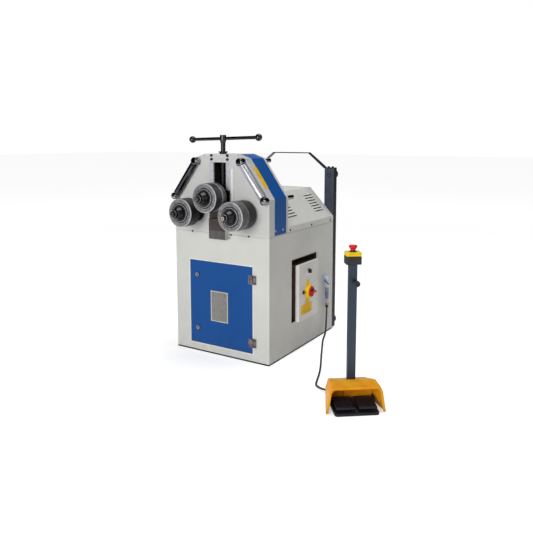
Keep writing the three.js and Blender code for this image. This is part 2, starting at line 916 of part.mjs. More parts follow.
function buildControls() {
  const switchBase = lidFaceX + switchBaseProud + seatGap;
  const switchTop = switchBase + switchKnobDepth;
  const grip = block(
    [switchTop - overrun, switchTop + switchGripDepth],
    [switchY - switchKnobRadius, switchY + switchKnobRadius],
    [switchZ - switchGripWidth / 2, switchZ + switchGripWidth / 2],
  );
  const knob = rod("x", switchKnobRadius, [switchBase, switchTop], [switchY, switchZ]);
  place(machine, "main_switch", join(knob, grip), "redPlastic");

  const selectorBase = lidFaceX + seatGap;
  const selectorTop = selectorBase + selectorDepth;
  const pointer = block(
    [selectorTop - selectorDepth / 2, selectorTop + selectorGripDepth],
    [selectorY - selectorGripWidth / 2, selectorY + selectorGripWidth / 2],
    [selectorZ - selectorRadius, selectorZ + selectorRadius],
  );
  const dial = rod("x", selectorRadius, [selectorBase, selectorTop], [selectorY, selectorZ]);
  place(machine, "selector_knob", join(dial, pointer), "blackPlastic");

  const camFrontX = boxFrontX - boxSheet - overrun;
  const head = rod("x", latchHeadRadius, [lidFaceX + seatGap, lidFaceX + latchHeadDepth], [latchY, latchZ]);
  const bodySpan = [camFrontX, lidFaceX + latchHeadDepth];
  const body = rod("x", latchBodyRadius, bodySpan, [latchY, latchZ], smallSides);
  const cam = block(
    [camFrontX - latchCamThickness, camFrontX],
    [latchY - latchCamWidth / 2, latchY + latchCamWidth / 2],
    [latchZ - latchCamLength, latchZ + latchCamWidth / 2],
  );
  place(machine, "lid_latch", join(head, body, cam), "blackPlastic");
}

// Outline of the head, anticlockwise from its lower left corner
const headOutline = [
  [-sideX, cabinetHeight + seatGap],
  [sideX, cabinetHeight + seatGap],
  [sideX, shoulderZ],
  [upperShoulderHalf, upperShoulderZ],
  [crownHalf, headTopZ],
  [-crownHalf, headTopZ],
  [-upperShoulderHalf, upperShoulderZ],
  [-sideX, shoulderZ],
];
const throughHead = [frontY - overrun, rearPlateBackY + overrun];
const guideEnds = [-1, 1].flatMap((side) => [
  { side, level: "upper", x: side * guideUpperX, z: guideUpperZ, radius: guideUpperEyeRadius },
  { side, level: "lower", x: side * guideLowerX, z: guideLowerZ, radius: guideLowerEyeRadius },
]);
const guideY = frontY - guideProud;

function buildHead() {
  const studHoles = guideEnds.map(({ x, z }) =>
    bore("y", guideStudRadius + seatGap, throughHead, [x, z], smallSides),
  );
  const pinionHole = bore("y", pinionShaftRadius + runGap, throughHead, [0, pinionZ]);
  const slot = block([-slotHalf, slotHalf], throughHead, [slotBottomZ, slotTopZ]);
  const gibHalf = slotHalf + gibWidth + seatGap;
  const gibBed = block(
    [-gibHalf, gibHalf],
    [frontY - overrun, frontY + gibDepth + seatGap],
    [slotBottomZ, slotTopZ],
  );
  const bearingHoles = [-rollX, rollX].map((x) =>
    bore("y", bearingRadius + seatGap, throughHead, [x, lowerRollZ]),
  );
  const throughCrown = [slotTopZ - overrun, headTopZ + overrun];
  const nutHole = bore("z", spindleNutRadius + seatGap, throughCrown, [0, spindleY]);
  place(
    machine,
    "front_plate",
    cut(
      plateXZ(headOutline, [frontY, frontPlateBackY]),
      slot,
      gibBed,
      ...bearingHoles,
      pinionHole,
      nutHole,
      ...studHoles,
    ),
    "greyPaint",
  );

  const shaftHoles = [-rollX, rollX].map((x) =>
    bore("y", rollBoreRadius + runGap, throughHead, [x, lowerRollZ]),
  );
  place(
    machine,
    "rear_plate",
    cut(plateXZ(headOutline, [rearPlateFrontY, rearPlateBackY]), ...shaftHoles, pinionHole, ...studHoles),
    "greyPaint",
  );

  const bandY = [frontPlateBackY + seatGap, rearPlateFrontY - seatGap];
  const bandInner = openBelow(inset(headOutline, bandThickness), cabinetHeight - overrun);
  place(
    machine,
    "side_band",
    cut(plateXZ(headOutline, bandY), plateXZ(bandInner, [bandY[0] - overrun, bandY[1] + overrun])),
    "bluePaint",
  );
}

// Guide strips that line the slot and stand a little proud of the plate
function buildGibs() {
  const y = [frontY - gibProud, frontY + gibDepth];
  const z = [slotBottomZ + seatGap, slotTopZ - seatGap];
  place(machine, "slide_gib_left", block([-slotHalf - gibWidth, -slotHalf], y, z), "brightSteel");
  place(machine, "slide_gib_right", block([slotHalf, slotHalf + gibWidth], y, z), "brightSteel");
}

// Slot cover: a box at the foot of the head, and a tongue that closes the slot and the pinion's bore
function buildSlotCover() {
  const backY = frontY - seatGap;
  const faceY = frontY - coverDepth;
  const shell = cut(
    block([-coverHalf, coverHalf], [faceY, backY], [coverBottomZ, coverTopZ]),
    block(
      [-coverHalf + coverSheet, coverHalf - coverSheet],
      [faceY + coverSheet, backY + overrun],
      [coverBottomZ + coverSheet, coverTopZ - coverSheet],
    ),
  );
  const tongue = block(
    [-slideFlangeHalf, slideFlangeHalf],
    [slideFaceY, slideFlangeBackY],
    [coverTopZ - coverSheet, tongueTopZ],
  );
  place(machine, "slot_cover", join(shell, tongue), "blackSteel");
}

// Slide: a core in the slot, held between a front and a rear flange, bored for the top shaft
function buildSlide() {
  const coreHalf = slotHalf - runGap;
  const z = [topRollZ - slideBelowRoll, topRollZ + slideAboveRoll];
  const flangeZ = [topRollZ - slideFlangeBelow, topRollZ + slideFlangeAbove];
  const core = block([-coreHalf, coreHalf], [frontY, slideRearY], z);
  const neck = block([-coreHalf, coreHalf], [slideFaceY, frontY + overrun], flangeZ);
  const flange = block([-slideFlangeHalf, slideFlangeHalf], [slideFaceY, slideFlangeBackY], flangeZ);
  const rearFlange = block(
    [-slideRearFlangeHalf, slideRearFlangeHalf],
    [frontPlateBackY + runGap, frontPlateBackY + runGap + slideRearFlangeThickness],
    z,
  );
  const throughSlide = [slideFaceY - overrun, slideRearY + overrun];
  const shaftHole = bore("y", rollBoreRadius + runGap, throughSlide, [0, topRollZ]);
  const socketSpan = [z[1] - spindleSocketDepth, z[1] + overrun];
  const socket = bore("z", spindleRadius + runGap, socketSpan, [0, spindleY]);
  place(machine, "roller_slide", cut(join(core, neck, flange, rearFlange), shaftHole, socket), "blackSteel");
}

// Roll: ring segments with chamfered rims and grooves between, round a bore
function rollProfile(length) {
  const innerRadius = rollBoreRadius + seatGap;
  const grooveFront = rollFrontY + rollFrontRing;
  const discRear = rollFrontY + length;
  const groove = [
    [rollRadius, grooveFront],
    [rollRadius - rollGroove, grooveFront + rollGrooveWidth / 2],
    [rollRadius, grooveFront + rollGrooveWidth],
  ];
  const spacer = [
    [rollSpacerRadius, discRear],
    [rollSpacerRadius, rollRearY],
  ];
  const face = [
    [innerRadius, rollFrontY - hubRingProud],
    [hubRingRadius, rollFrontY - hubRingProud],
    [hubRingRadius, rollFrontY + faceGrooveDepth],
    [hubRingRadius + faceGrooveWidth, rollFrontY + faceGrooveDepth],
    [hubRingRadius + faceGrooveWidth, rollFrontY],
  ];
  const profile = [
    ...face,
    [rollRadius - rollChamfer, rollFrontY],
    [rollRadius, rollFrontY + rollChamfer],
    ...groove,
    [rollRadius, discRear - rollChamfer],
    [rollRadius - rollChamfer, discRear],
    ...(length < rollLength ? spacer : []),
    [innerRadius, rollRearY],
  ];
  return [...profile, profile[0]];
}

// Shaft nose shared by the three rolls: a centred tip, the nut's thread and the roll's seat
function shaftNose() {
  return [
    [0, shaftTipY + shaftCentreDepth],
    [shaftCentreHole, shaftTipY + shaftCentreDepth],
    [shaftCentreHole, shaftTipY],
    [shaftTipRadius, shaftTipY],
    [shaftTipRadius, shaftTipStartY],
    [shaftThreadRadius, shaftTipStartY],
    [shaftThreadRadius, shaftThreadStartY],
    [rollBoreRadius, shaftThreadStartY],
    [rollBoreRadius, rollRearY + seatGap],
    [collarRadius, rollRearY + seatGap],
    [collarRadius, collarRearY],
    [rollBoreRadius, collarRearY],
  ];
}

function shaftTo(rearEnd, centre) {
  return turned("y", [...shaftNose(), [rollBoreRadius, rearEnd], [0, rearEnd]], centre, midSides);
}

// Lock nut: a cylindrical band with a conical nose
function lockNut(centre) {
  const rear = shaftThreadStartY;
  const inner = shaftThreadRadius + runGap;
  const profile = [
    [inner, rear],
    [nutRearRadius, rear],
    [nutRearRadius, rear - nutBandLength],
    [nutNoseRadius, rear - nutLength],
    [inner, rear - nutLength],
  ];
  return turned("y", [...profile, profile[0]], centre, midSides);
}

// Involute gear outline round the origin, its first tooth centred at an angle
function gearOutline(teeth, firstTooth) {
  const pitchRadius = (gearModule * teeth) / 2;
  const baseRadius = pitchRadius * Math.cos(pressureAngle);
  const involute = (angle) => Math.tan(angle) - angle;
  const halfTooth = quarter / teeth - backlash / 2 / pitchRadius;
  const halfAngleAt = (radius) => {
    const angle = Math.acos(Math.min(1, baseRadius / radius));
    return halfTooth + involute(pressureAngle) - involute(angle);
  };
  const rootRadius = pitchRadius - dedendumShare * gearModule;
  const radii = [rootRadius, pitchRadius, pitchRadius + gearModule];
  const outline = [];
  for (let tooth = 0; tooth < teeth; tooth += 1) {
    const middle = firstTooth + (tooth * 2 * Math.PI) / teeth;
    const flank = radii.map((radius) => [radius, halfAngleAt(Math.max(radius, baseRadius))]);
    const rising = flank.map(([radius, half]) => [radius, middle - half]);
    const falling = flank.map(([radius, half]) => [radius, middle + half]).reverse();
    outline.push(...rising, ...falling);
  }
  return outline.map(([radius, angle]) => [radius * Math.cos(angle), radius * Math.sin(angle)]);
}

// A gear's first tooth angle that meshes with the pinion, whose first tooth points up
function meshAngle(gearX) {
  const towards = Math.atan2(lowerRollZ - pinionZ, gearX);
  const pinionPitch = (2 * Math.PI) / pinionTeeth;
  const fromTooth = (((towards - quarter) % pinionPitch) + pinionPitch) % pinionPitch;
  const gearShift = (fromTooth * pinionTeeth) / gearTeeth;
  return towards + Math.PI + gearShift + Math.PI / gearTeeth;
}

function buildGears() {
  const gearY = [gearFrontY, gearFrontY + gearWidth];
  const shaftRear = rearPlateBackY + shaftRearReach;
  for (const [name, x] of [["left_gear_shaft", -rollX], ["right_gear_shaft", rollX]]) {
    const wheel = gearOutline(gearTeeth, meshAngle(x)).map(([a, b]) => [a + x, b + lowerRollZ]);
    place(machine, name, join(shaftTo(shaftRear, [x, lowerRollZ]), plateXZ(wheel, gearY)), "brightSteel");
  }
  const teeth = gearOutline(pinionTeeth, quarter).map(([a, b]) => [a, b + pinionZ]);
  const shaftSpan = [frontY + pinionFrontSetback, rearPlateBackY + pinionRearReach];
  const shaft = rod("y", pinionShaftRadius, shaftSpan, [0, pinionZ]);
  place(machine, "drive_pinion", join(shaft, plateXZ(teeth, gearY)), "brightSteel");
}

function buildRolls() {
  const rear = slideRearY + shaftRearReach;
  place(machine, "top_shaft", shaftTo(rear, [0, topRollZ]), "brightSteel");
  const rolls = [
    ["top", 0, topRollZ, topRollLength],
    ["left", -rollX, lowerRollZ, leftRollLength],
    ["right", rollX, lowerRollZ, rollLength],
  ];
  for (const [name, x, z, length] of rolls) {
    place(machine, `${name}_roller`, turned("y", rollProfile(length), [x, z]), "rollSteel");
    place(machine, `${name}_lock_nut`, lockNut([x, z]), "blackSteel");
  }
}

function buildBearings() {
  for (const [name, x] of [["front_bearing_left", -rollX], ["front_bearing_right", rollX]]) {
    const inner = clearRadius(rollBoreRadius + runGap);
    const profile = [
      [inner, frontY - bearingProud],
      [bearingFlangeRadius, frontY - bearingProud],
      [bearingFlangeRadius, frontY - seatGap],
      [bearingRadius, frontY - seatGap],
      [bearingRadius, frontPlateBackY],
      [inner, frontPlateBackY],
    ];
    place(machine, name, turned("y", [...profile, profile[0]], [x, lowerRollZ], midSides), "blackSteel");
  }
}

// Feed: a flanged nut in the head's crown, the spindle and its T-handle
function buildFeed() {
  const neckTop = headTopZ + spindleNutNeck;
  const flangeTop = neckTop + spindleNutFlange;
  const inner = clearRadius(spindleRadius + runGap);
  const nutProfile = [
    [inner, slotTopZ + seatGap],
    [spindleNutRadius, slotTopZ + seatGap],
    [spindleNutRadius, neckTop],
    [spindleNutFlangeRadius, neckTop],
    [spindleNutFlangeRadius, flangeTop],
    [inner, flangeTop],
  ];
  const collar = cut(
    rod("z", spindleNutRadius + spindleNutCollarWall, [headTopZ + seatGap, neckTop], [0, spindleY]),
    bore("z", spindleNutRadius - seatGap, [headTopZ - overrun, neckTop + overrun], [0, spindleY]),
  );
  const nut = turned("z", [...nutProfile, nutProfile[0]], [0, spindleY], midSides);
  place(machine, "spindle_nut", join(nut, collar), "blackSteel");

  const spindleBottom = topRollZ + slideAboveRoll - spindleSocketDepth + seatGap;
  const spindleTop = handleHubBottomZ + handleSocketDepth - seatGap;
  const spindle = rod("z", spindleRadius, [spindleBottom, spindleTop], [0, spindleY]);
  place(machine, "spindle", spindle, "blackSteel");

  const hubTop = handleHubBottomZ + handleHubHeight;
  const hubProfile = [
    [0, handleHubBottomZ],
    [handleHubRadius - handleHubChamfer / 2, handleHubBottomZ],
    [handleHubRadius, handleHubBottomZ + handleHubChamfer],
    [handleHubRadius, hubTop - handleHubChamfer],
    [handleHubRadius - handleHubChamfer, hubTop],
    [0, hubTop],
  ];
  const barEnds = [handleBarShift - handleSpan / 2, handleBarShift + handleSpan / 2];
  const bar = rod("x", handleBarRadius, barEnds, [spindleY, handleBarZ], smallSides);
  const balls = barEnds.map((x) => {
    const ball = new THREE.SphereGeometry(handleBallRadius, smallSides, ballRings);
    ball.translate(x, spindleY, handleBarZ);
    return solid(ball);
  });
  const socket = bore(
    "z",
    spindleRadius + seatGap,
    [handleHubBottomZ - overrun, handleHubBottomZ + handleSocketDepth],
    [0, spindleY],
  );
  const hub = cut(turned("z", hubProfile, [0, spindleY], midSides), socket);
  place(machine, "t_handle", join(hub, bar, ...balls), "blackPlastic");
}

// Side guides: two studs through the head carry a pin, and a sleeve turns on it
function buildGuides() {
  const eye = (end) =>
    turned(
      "y",
      [
        [0, guideY - guideEyeDepth / 2],
        [end.radius - guideEyeChamfer, guideY - guideEyeDepth / 2],
        [end.radius, guideY - guideEyeDepth / 2 + guideEyeChamfer],
        [end.radius, frontY - seatGap],
        [guideStudRadius, frontY - seatGap],
        [guideStudRadius, rearPlateBackY + guideStudRearReach],
        [0, rearPlateBackY + guideStudRearReach],
      ],
      [end.x, end.z],
      midSides,
    );
  for (const side of [-1, 1]) {
    const name = side < 0 ? "left" : "right";
    const [upper, lower] = guideEnds.filter((end) => end.side === side);
    const from = new THREE.Vector3(upper.x, guideY, upper.z);
    const to = new THREE.Vector3(lower.x, guideY, lower.z);
    const way = to.clone().sub(from).normalize();
    const at = (point, distance) => point.clone().addScaledVector(way, distance);
    const pin = rodBetween(from, at(to, -guidePinEntry), guidePinRadius, smallSides);
    const pinHole = rodBetween(
      at(to, -lower.radius - overrun),
      at(to, -guidePinEntry + seatGap),
      clearRadius(guidePinRadius + runGap, smallSides),
      smallSides,
    );
    const sleeveFrom = at(from, upper.radius + runGap);
    const sleeveTo = at(to, -lower.radius - runGap);
    const sleeveBore = clearRadius(guidePinRadius + runGap, smallSides);
    const sleeve = cut(
      rodBetween(sleeveFrom, sleeveTo, guideSleeveRadius),
      rodBetween(at(sleeveFrom, -overrun), at(sleeveTo, overrun), sleeveBore, smallSides),
    );
    place(machine, `guide_stud_upper_${name}`, join(eye(upper), pin), "blackSteel");
    place(machine, `guide_stud_lower_${name}`, cut(eye(lower), pinHole), "blackSteel");
    place(machine, `guide_sleeve_${name}`, sleeve, "chrome");
  }
}

// Drive: a worm gearbox bolted on the rear plate, and a finned motor behind it
function buildDrive() {
  const frontFace = rearPlateBackY + seatGap;
  const rearFace = frontFace + gearboxLength;
  const bottom = cabinetHeight + seatGap;
  const housing = block([-gearboxHalf, gearboxHalf], [frontFace, rearFace], [bottom, bottom + gearboxRise]);
  const footSpan = [bottom, bottom + gearboxFoot];
  const foot = block([-gearboxFootHalf, gearboxFootHalf], [frontFace, rearFace], footSpan);
  const shaftHole = bore(
    "y",
    pinionShaftRadius + runGap,
    [frontFace - overrun, frontFace + pinionBoreDepth],
    [0, pinionZ],
  );
  place(machine, "reduction_gearbox", cut(join(housing, foot), shaftHole), "castPaint");

  const motorZ = bottom + motorRise;
  const motorFront = rearFace + seatGap;
  const motorRear = motorFront + motorLength;
  const barrel = rod("y", motorRadius - motorFinHeight, [motorFront, motorRear], [0, motorZ], fineSides);
  const cowl = rod("y", motorCowlRadius, [motorRear - motorCowlLength, motorRear], [0, motorZ], fineSides);
  const fins = Array.from({ length: motorFinCount }, (_, i) => {
    const fin = new THREE.BoxGeometry(2 * motorRadius, motorLength - motorCowlLength, motorFinWidth);
    fin.rotateY((i * Math.PI) / motorFinCount);
    fin.translate(0, motorFront + (motorLength - motorCowlLength) / 2, motorZ);
    return solid(fin);
  });
  const cradleFront = motorFront + motorCowlLength;
  const cradle = block(
    [-gearboxHalf / 2, gearboxHalf / 2],
    [cradleFront, cradleFront + motorCradleLength],
    [bottom, motorZ],
  );
  place(machine, "drive_motor", join(barrel, cowl, ...fins, cradle), "castPaint");
}

// Hood: a folded sheet open below and in front, with two groups of louvres on each slope
function buildHood() {
  const foldZ = cabinetHeight + hoodFoldRise;
  const topZ = cabinetHeight + hoodTopRise;
  const outline = [
    [-sideX, cabinetHeight + seatGap],
    [sideX, cabinetHeight + seatGap],
    [sideX, foldZ],
    [hoodTopHalf, topZ],
    [-hoodTopHalf, topZ],
    [-sideX, foldZ],
  ];
  const y = [rearPlateBackY + seatGap, rearY];
  const inner = openBelow(inset(outline, hoodSheet), cabinetHeight - overrun);
  const shell = cut(plateXZ(outline, y), plateXZ(inner, [y[0] - overrun, y[1] - hoodSheet]));
  const slope = Math.atan2(topZ - foldZ, sideX - hoodTopHalf);
  const middleY = (y[0] + y[1]) / 2;
  const groupOffset = (y[1] - y[0]) / 2 - louvreEndRoom - louvreLength / 2;
  const slots = [];
  for (const side of [-1, 1]) {
    for (const group of [-1, 1]) {
      for (let row = 0; row < louvreRows; row += 1) {
        const rise = louvreFirstRise + ((louvreLastRise - louvreFirstRise) * row) / (louvreRows - 1);
        const x = sideX - (rise - hoodFoldRise) / Math.tan(slope);
        const slot = new THREE.BoxGeometry(louvreHeight, louvreLength, 2 * overrun);
        slot.rotateY(side * slope);
        slot.translate(side * x, middleY + group * groupOffset, cabinetHeight + rise);
        slots.push(solid(slot));
      }
    }
  }
  place(machine, "rear_hood", cut(shell, ...slots), "hoodPaint");
}

// Posts: rectangular tubes bolted behind the cabinet, each with two rubber pucks, and the arch between them
function buildPosts() {
  for (const [name, side] of [["rear_post_left", -1], ["rear_post_right", 1]]) {
    const x = [side * sideX, side * postInnerX].sort((a, b) => a - b);
    const tube = cut(
      block(x, [postFrontY, postBackY], [postBottomZ, postTopZ]),
      block(
        [x[0] + postWall, x[1] - postWall],
        [postFrontY + postWall, postBackY - postWall],
        [postBottomZ - overrun, postTopZ + overrun],
      ),
    );
    const pucks = [puckUpperZ, puckLowerZ].map((z) =>
      rod("y", puckRadius, [postBackY - postWall / 2, postBackY + puckThickness], [(x[0] + x[1]) / 2, z]),
    );
    place(machine, name, join(tube, ...pucks), "slatePaint");
  }
  const footZ = postTopZ + seatGap;
  const middle = [
    [sideX, footZ],
    [postInnerX - archThickness, footZ],
    [archCornerHalf, archTopZ - archThickness],
  ];
  const upper = [
    [archCornerHalf - archThickness / 2, archTopZ],
    [postInnerX - archThickness / 2, footZ + archThickness],
    [sideX, footZ + archThickness],
  ];
  const mirrored = (points) => points.map(([x, z]) => [-x, z]).reverse();
  const outline = [...middle, ...mirrored(middle), ...mirrored(upper), ...upper];
  const archY = (postFrontY + postBackY) / 2;
  place(machine, "rear_arch", plateXZ(outline, [archY - archWidth / 2, archY + archWidth / 2]), "slatePaint");
}

// Socket on the cabinet's right wall, and the cord's plug hanging from it
function buildConnector() {
  const wall = sideX + seatGap;
  const flange = block(
    [wall, wall + socketFlangeThickness],
    [socketY - socketFlange / 2, socketY + socketFlange / 2],
    [socketZ - socketFlange / 2, socketZ + socketFlange / 2],
  );
  const barrelEnd = wall + socketFlangeThickness + socketLength;
  const barrel = rod("x", socketRadius, [wall, barrelEnd], [socketY, socketZ]);
  place(machine, "pedal_socket", join(flange, barrel), "connectorGrey");

  const stubStart = barrelEnd + seatGap;
  const stub = rod("x", plugStubRadius, [stubStart, plugX], [socketY, socketZ]);
  const stepDrop = plugDrop / plugSteps;
  const tiers = Array.from({ length: plugSteps }, (_, i) => {
    const top = plugTopRadius + ((plugTipRadius - plugTopRadius) * i) / plugSteps;
    const high = socketZ - i * stepDrop;
    return [
      [top, high],
      [top * plugStepShare, high - stepDrop],
    ];
  }).flat();
  const profile = [[0, socketZ], ...tiers, [0, plugBottomZ]];
  const dome = new THREE.SphereGeometry(plugTopRadius, smallSides, ballRings);
  dome.translate(plugX, socketY, socketZ);
  const sleeve = turned("z", profile, [plugX, socketY], smallSides);
  const glandSpan = [plugBottomZ - glandLength, plugBottomZ + glandLength / 2];
  const gland = rod("z", glandRadius, glandSpan, [plugX, socketY], smallSides);
  place(machine, "cord_plug", join(stub, solid(dome), sleeve, gland), "connectorGrey");
}

// Pedal base: a plate with a centre rib, the pedals' pin, the switch housing and a cord gland
function buildPedalBase() {
  const cornerX = stationBaseHalf - stationBaseCorner;
  const corners = [-cornerX, cornerX].map((x) =>
    rod("z", stationBaseCorner, [0, stationBaseHeight], [x, stationBaseCorner]),
  );
  const wide = block(
    [-stationBaseHalf, stationBaseHalf],
    [stationBaseCorner, stationBaseDepth],
    [0, stationBaseHeight],
  );
  const front = block([-cornerX, cornerX], [0, stationBaseDepth], [0, stationBaseHeight]);
  const ribOutline = [
    [stationRibFront, stationBaseHeight / 2],
    [stationRibRear, stationBaseHeight / 2],
    [stationRibRear, stationBaseHeight],
    [stationRibPeak, stationRibHeight],
    [stationRibFront, stationRibFrontHeight],
  ];
  const rib = plateYZ(ribOutline, [-stationRibHalf, stationRibHalf]);
  const ears = [-1, 1].map((side) =>
    block(
      [
        side < 0 ? -stationBaseHalf : stationBaseHalf - stationEarThickness,
        side < 0 ? -stationBaseHalf + stationEarThickness : stationBaseHalf,
      ],
      [pedalPinDepth - stationEarLength / 2, pedalPinDepth + stationEarLength / 2],
      [stationBaseHeight / 2, stationEarHeight],
    ),
  );
  const pin = rod(
    "x",
    pedalPinRadius,
    [-stationBaseHalf + stationEarThickness / 2, stationBaseHalf - stationEarThickness / 2],
    [pedalPinDepth, pedalPinZ],
    smallSides,
  );
  const housing = block(
    [-stationHousingHalf, stationHousingHalf],
    [stationHousingFront, stationBaseDepth],
    [stationBaseHeight / 2, stationHousingHeight],
  );
  const gland = rod(
    "y",
    stationGlandRadius,
    [stationBaseDepth - overrun, stationBaseDepth + stationGlandLength],
    [stationGlandX, stationGlandZ],
    smallSides,
  );
  const tray = join(wide, front, ...corners);
  place(station, "pedal_base", join(tray, rib, ...ears, pin, housing, gland), "blackPlastic");
}

// Pedal: a sloping plate with tread ribs and a hub on the pin
function buildPedal(name, side) {
  const inner = stationRibHalf + pedalSideGap;
  const outer = stationBaseHalf - stationEarThickness - pedalSideGap;
  const x = side < 0 ? [-outer, -inner] : [inner, outer];
  const run = pedalPinDepth - pedalFront;
  const rise = pedalPinZ + pedalHubRadius - pedalThickness - pedalFrontZ;
  const outline = [
    [pedalFront, pedalFrontZ],
    [pedalPinDepth, pedalPinZ + pedalHubRadius - pedalThickness],
    [pedalPinDepth, pedalPinZ + pedalHubRadius],
    [pedalFront, pedalFrontZ + pedalThickness],
  ];
  const hub = rod("x", pedalHubRadius, x, [pedalPinDepth, pedalPinZ]);
  const treads = Array.from({ length: pedalTreadCount }, (_, i) => {
    const y = pedalFront + pedalTreadWidth + i * pedalTreadPitch;
    const z = pedalFrontZ + pedalThickness + (rise * (y - pedalFront)) / run;
    return block(
      [x[0] + pedalSideGap, x[1] - pedalSideGap],
      [y, y + pedalTreadWidth],
      [z - pedalThickness / 2, z + pedalTreadHeight],
    );
  });
  const pinHole = bore(
    "x",
    pedalPinRadius + runGap,
    [x[0] - overrun, x[1] + overrun],
    [pedalPinDepth, pedalPinZ],
    smallSides,
  );
  place(station, name, cut(join(plateYZ(outline, x), hub, ...treads), pinHole), "blackPlastic");
}

// Guard: a moulded hood that narrows to the rear, with a lipped mouth and a boss under the post
function guardHull(wall) {
  const floor = wall > 0 ? -overrun : 0;
  const front = [
    [guardFootHalf, floor],
    [guardHipHalf, guardHipZ - wall],
    [guardLipHalf, guardLipZ - wall],
  ];
  const rear = [
    [guardRearFootHalf, floor],
    [guardRearHipHalf, guardRearHipZ],
    [guardRearHalf, guardRearZ - wall],
  ];
  const corners = [
    ...front.map(([half, z]) => [half - wall, guardFrontDepth + wall, z]),
    [guardCreaseHalf - wall, guardCreaseDepth, guardCreaseZ - wall],
    ...rear.map(([half, z]) => [half - wall, guardRearDepth - wall, z]),
  ];
  return wasm.Manifold.hull(corners.flatMap(([half, y, z]) => [[-half, y, z], [half, y, z]]));
}

// Height of the guard's rear roof at a depth
function guardRoofZ(depth) {
  const share = (depth - guardCreaseDepth) / (guardRearDepth - guardCreaseDepth);
  return guardCreaseZ + (guardRearZ - guardCreaseZ) * share;
}

function buildGuard() {
  const outer = guardHull(0);
  const half = [
    [guardFootHalf - guardLipWidth, -overrun],
    [guardHipHalf - guardLipWidth, guardHipZ],
    [guardLipHalf - guardLipWidth, guardLipZ - guardLipWidth],
  ];
  const mirrored = half.map(([x, z]) => [-x, z]).reverse();
  const mouthCut = plateXZ([...half, ...mirrored], [0, guardFrontDepth + guardWall + overrun]);
  const cordHole = bore(
    "y",
    guardCordHoleRadius,
    [guardRearDepth - guardWall - overrun, guardRearDepth + overrun],
    [stationGlandX, stationGlandZ],
    smallSides,
  );
  const bossX = [stationPostX - guardBossHalf, stationPostX + guardBossHalf];
  const bossFront = stationPostDepth - stationPostHalfDepth - guardBossSetback;
  const bossY = [bossFront, bossFront + guardBossDepth];
  const bossFoot = stationHousingHeight + seatGap;
  const boss = cut(
    block(bossX, bossY, [bossFoot, guardCreaseZ]),
    block(
      [bossX[0] + guardWall, bossX[1] - guardWall],
      [bossY[0] + guardWall, bossY[1] - guardWall],
      [bossFoot - overrun, guardRoofZ(bossY[1]) - 2 * guardWall],
    ),
  ).intersect(outer);
  const shell = cut(outer, guardHull(guardWall), mouthCut, cordHole);
  place(station, "pedal_guard", join(shell, boss), "orangePlastic");
}

// Post of the station: a flat tube cut to the slope of the guard's roof, with a cable gland on its front
function buildStationPost() {
  const inner = stationPostHalf - stationPostWall;
  const front = stationPostDepth - stationPostHalfDepth;
  const back = stationPostDepth + stationPostHalfDepth;
  const outline = [
    [front, guardRoofZ(front) + seatGap],
    [back, guardRoofZ(back) + seatGap],
    [back, stationPostTopZ],
    [front, stationPostTopZ],
  ];
  const tube = cut(
    plateYZ(outline, [stationPostX - stationPostHalf, stationPostX + stationPostHalf]),
    block(
      [stationPostX - inner, stationPostX + inner],
      [front + stationPostWall, back - stationPostWall],
      [guardRoofZ(back) - overrun, stationPostTopZ + overrun],
    ),
  );
  const glandEnd = front - postGlandLength;
  const centre = [stationPostX + postGlandSide, postGlandZ];
  const gland = rod("y", postGlandRadius, [glandEnd, front + stationPostWall / 2], centre, smallSides);
  const knob = rod("y", postGlandKnobRadius, [glandEnd, glandEnd + postGlandKnobLength], centre, smallSides);
  place(station, "station_post", join(tube, gland, knob), "slatePaint");
}

function buildEmergencyStop() {
  const bottom = stationPostTopZ + seatGap;
  const bodyTop = bottom + estopBodyHeight;
  const lidTopZ = bodyTop + estopLidHeight;
  const bezelTop = lidTopZ + estopBezelHeight;
  const centre = [stationPostX, stationPostDepth];
  const body = block(
    [stationPostX - estopHalfWidth, stationPostX + estopHalfWidth],
    [stationPostDepth - estopHalfDepth, stationPostDepth + estopHalfDepth],
    [bottom, bodyTop],
  );
  const lid = block(
    [stationPostX - estopHalfWidth + estopLidInset, stationPostX + estopHalfWidth - estopLidInset],
    [stationPostDepth - estopHalfDepth + estopLidInset, stationPostDepth + estopHalfDepth - estopLidInset],
    [bodyTop - estopLidInset, lidTopZ],
  );
  const bezel = rod("z", estopBezelRadius, [lidTopZ - estopBezelHeight, bezelTop], centre);
  const stemBottom = bezelTop - estopStemDepth;
  const wellSpan = [stemBottom - estopTravel - seatGap, bezelTop + overrun];
  const well = bore("z", estopStemRadius + runGap, wellSpan, centre);
  place(station, "estop_box", cut(join(body, lid, bezel), well), "yellowPlastic");

  const headBottom = bezelTop + estopStemRise;
  const headTop = headBottom + estopHeadHeight;
  const profile = [
    [0, stemBottom],
    [estopStemRadius, stemBottom],
    [estopStemRadius, headBottom],
    [estopFootRadius, headBottom],
    [estopHeadRadius, headBottom + estopFlareHeight],
    [estopHeadRadius, headTop - estopCrownHeight],
    [estopHeadRadius * estopCrownShare, headTop],
    [0, headTop],
  ];
  place(station, "estop_button", turned("z", profile, centre, midSides), "redPlastic");
}

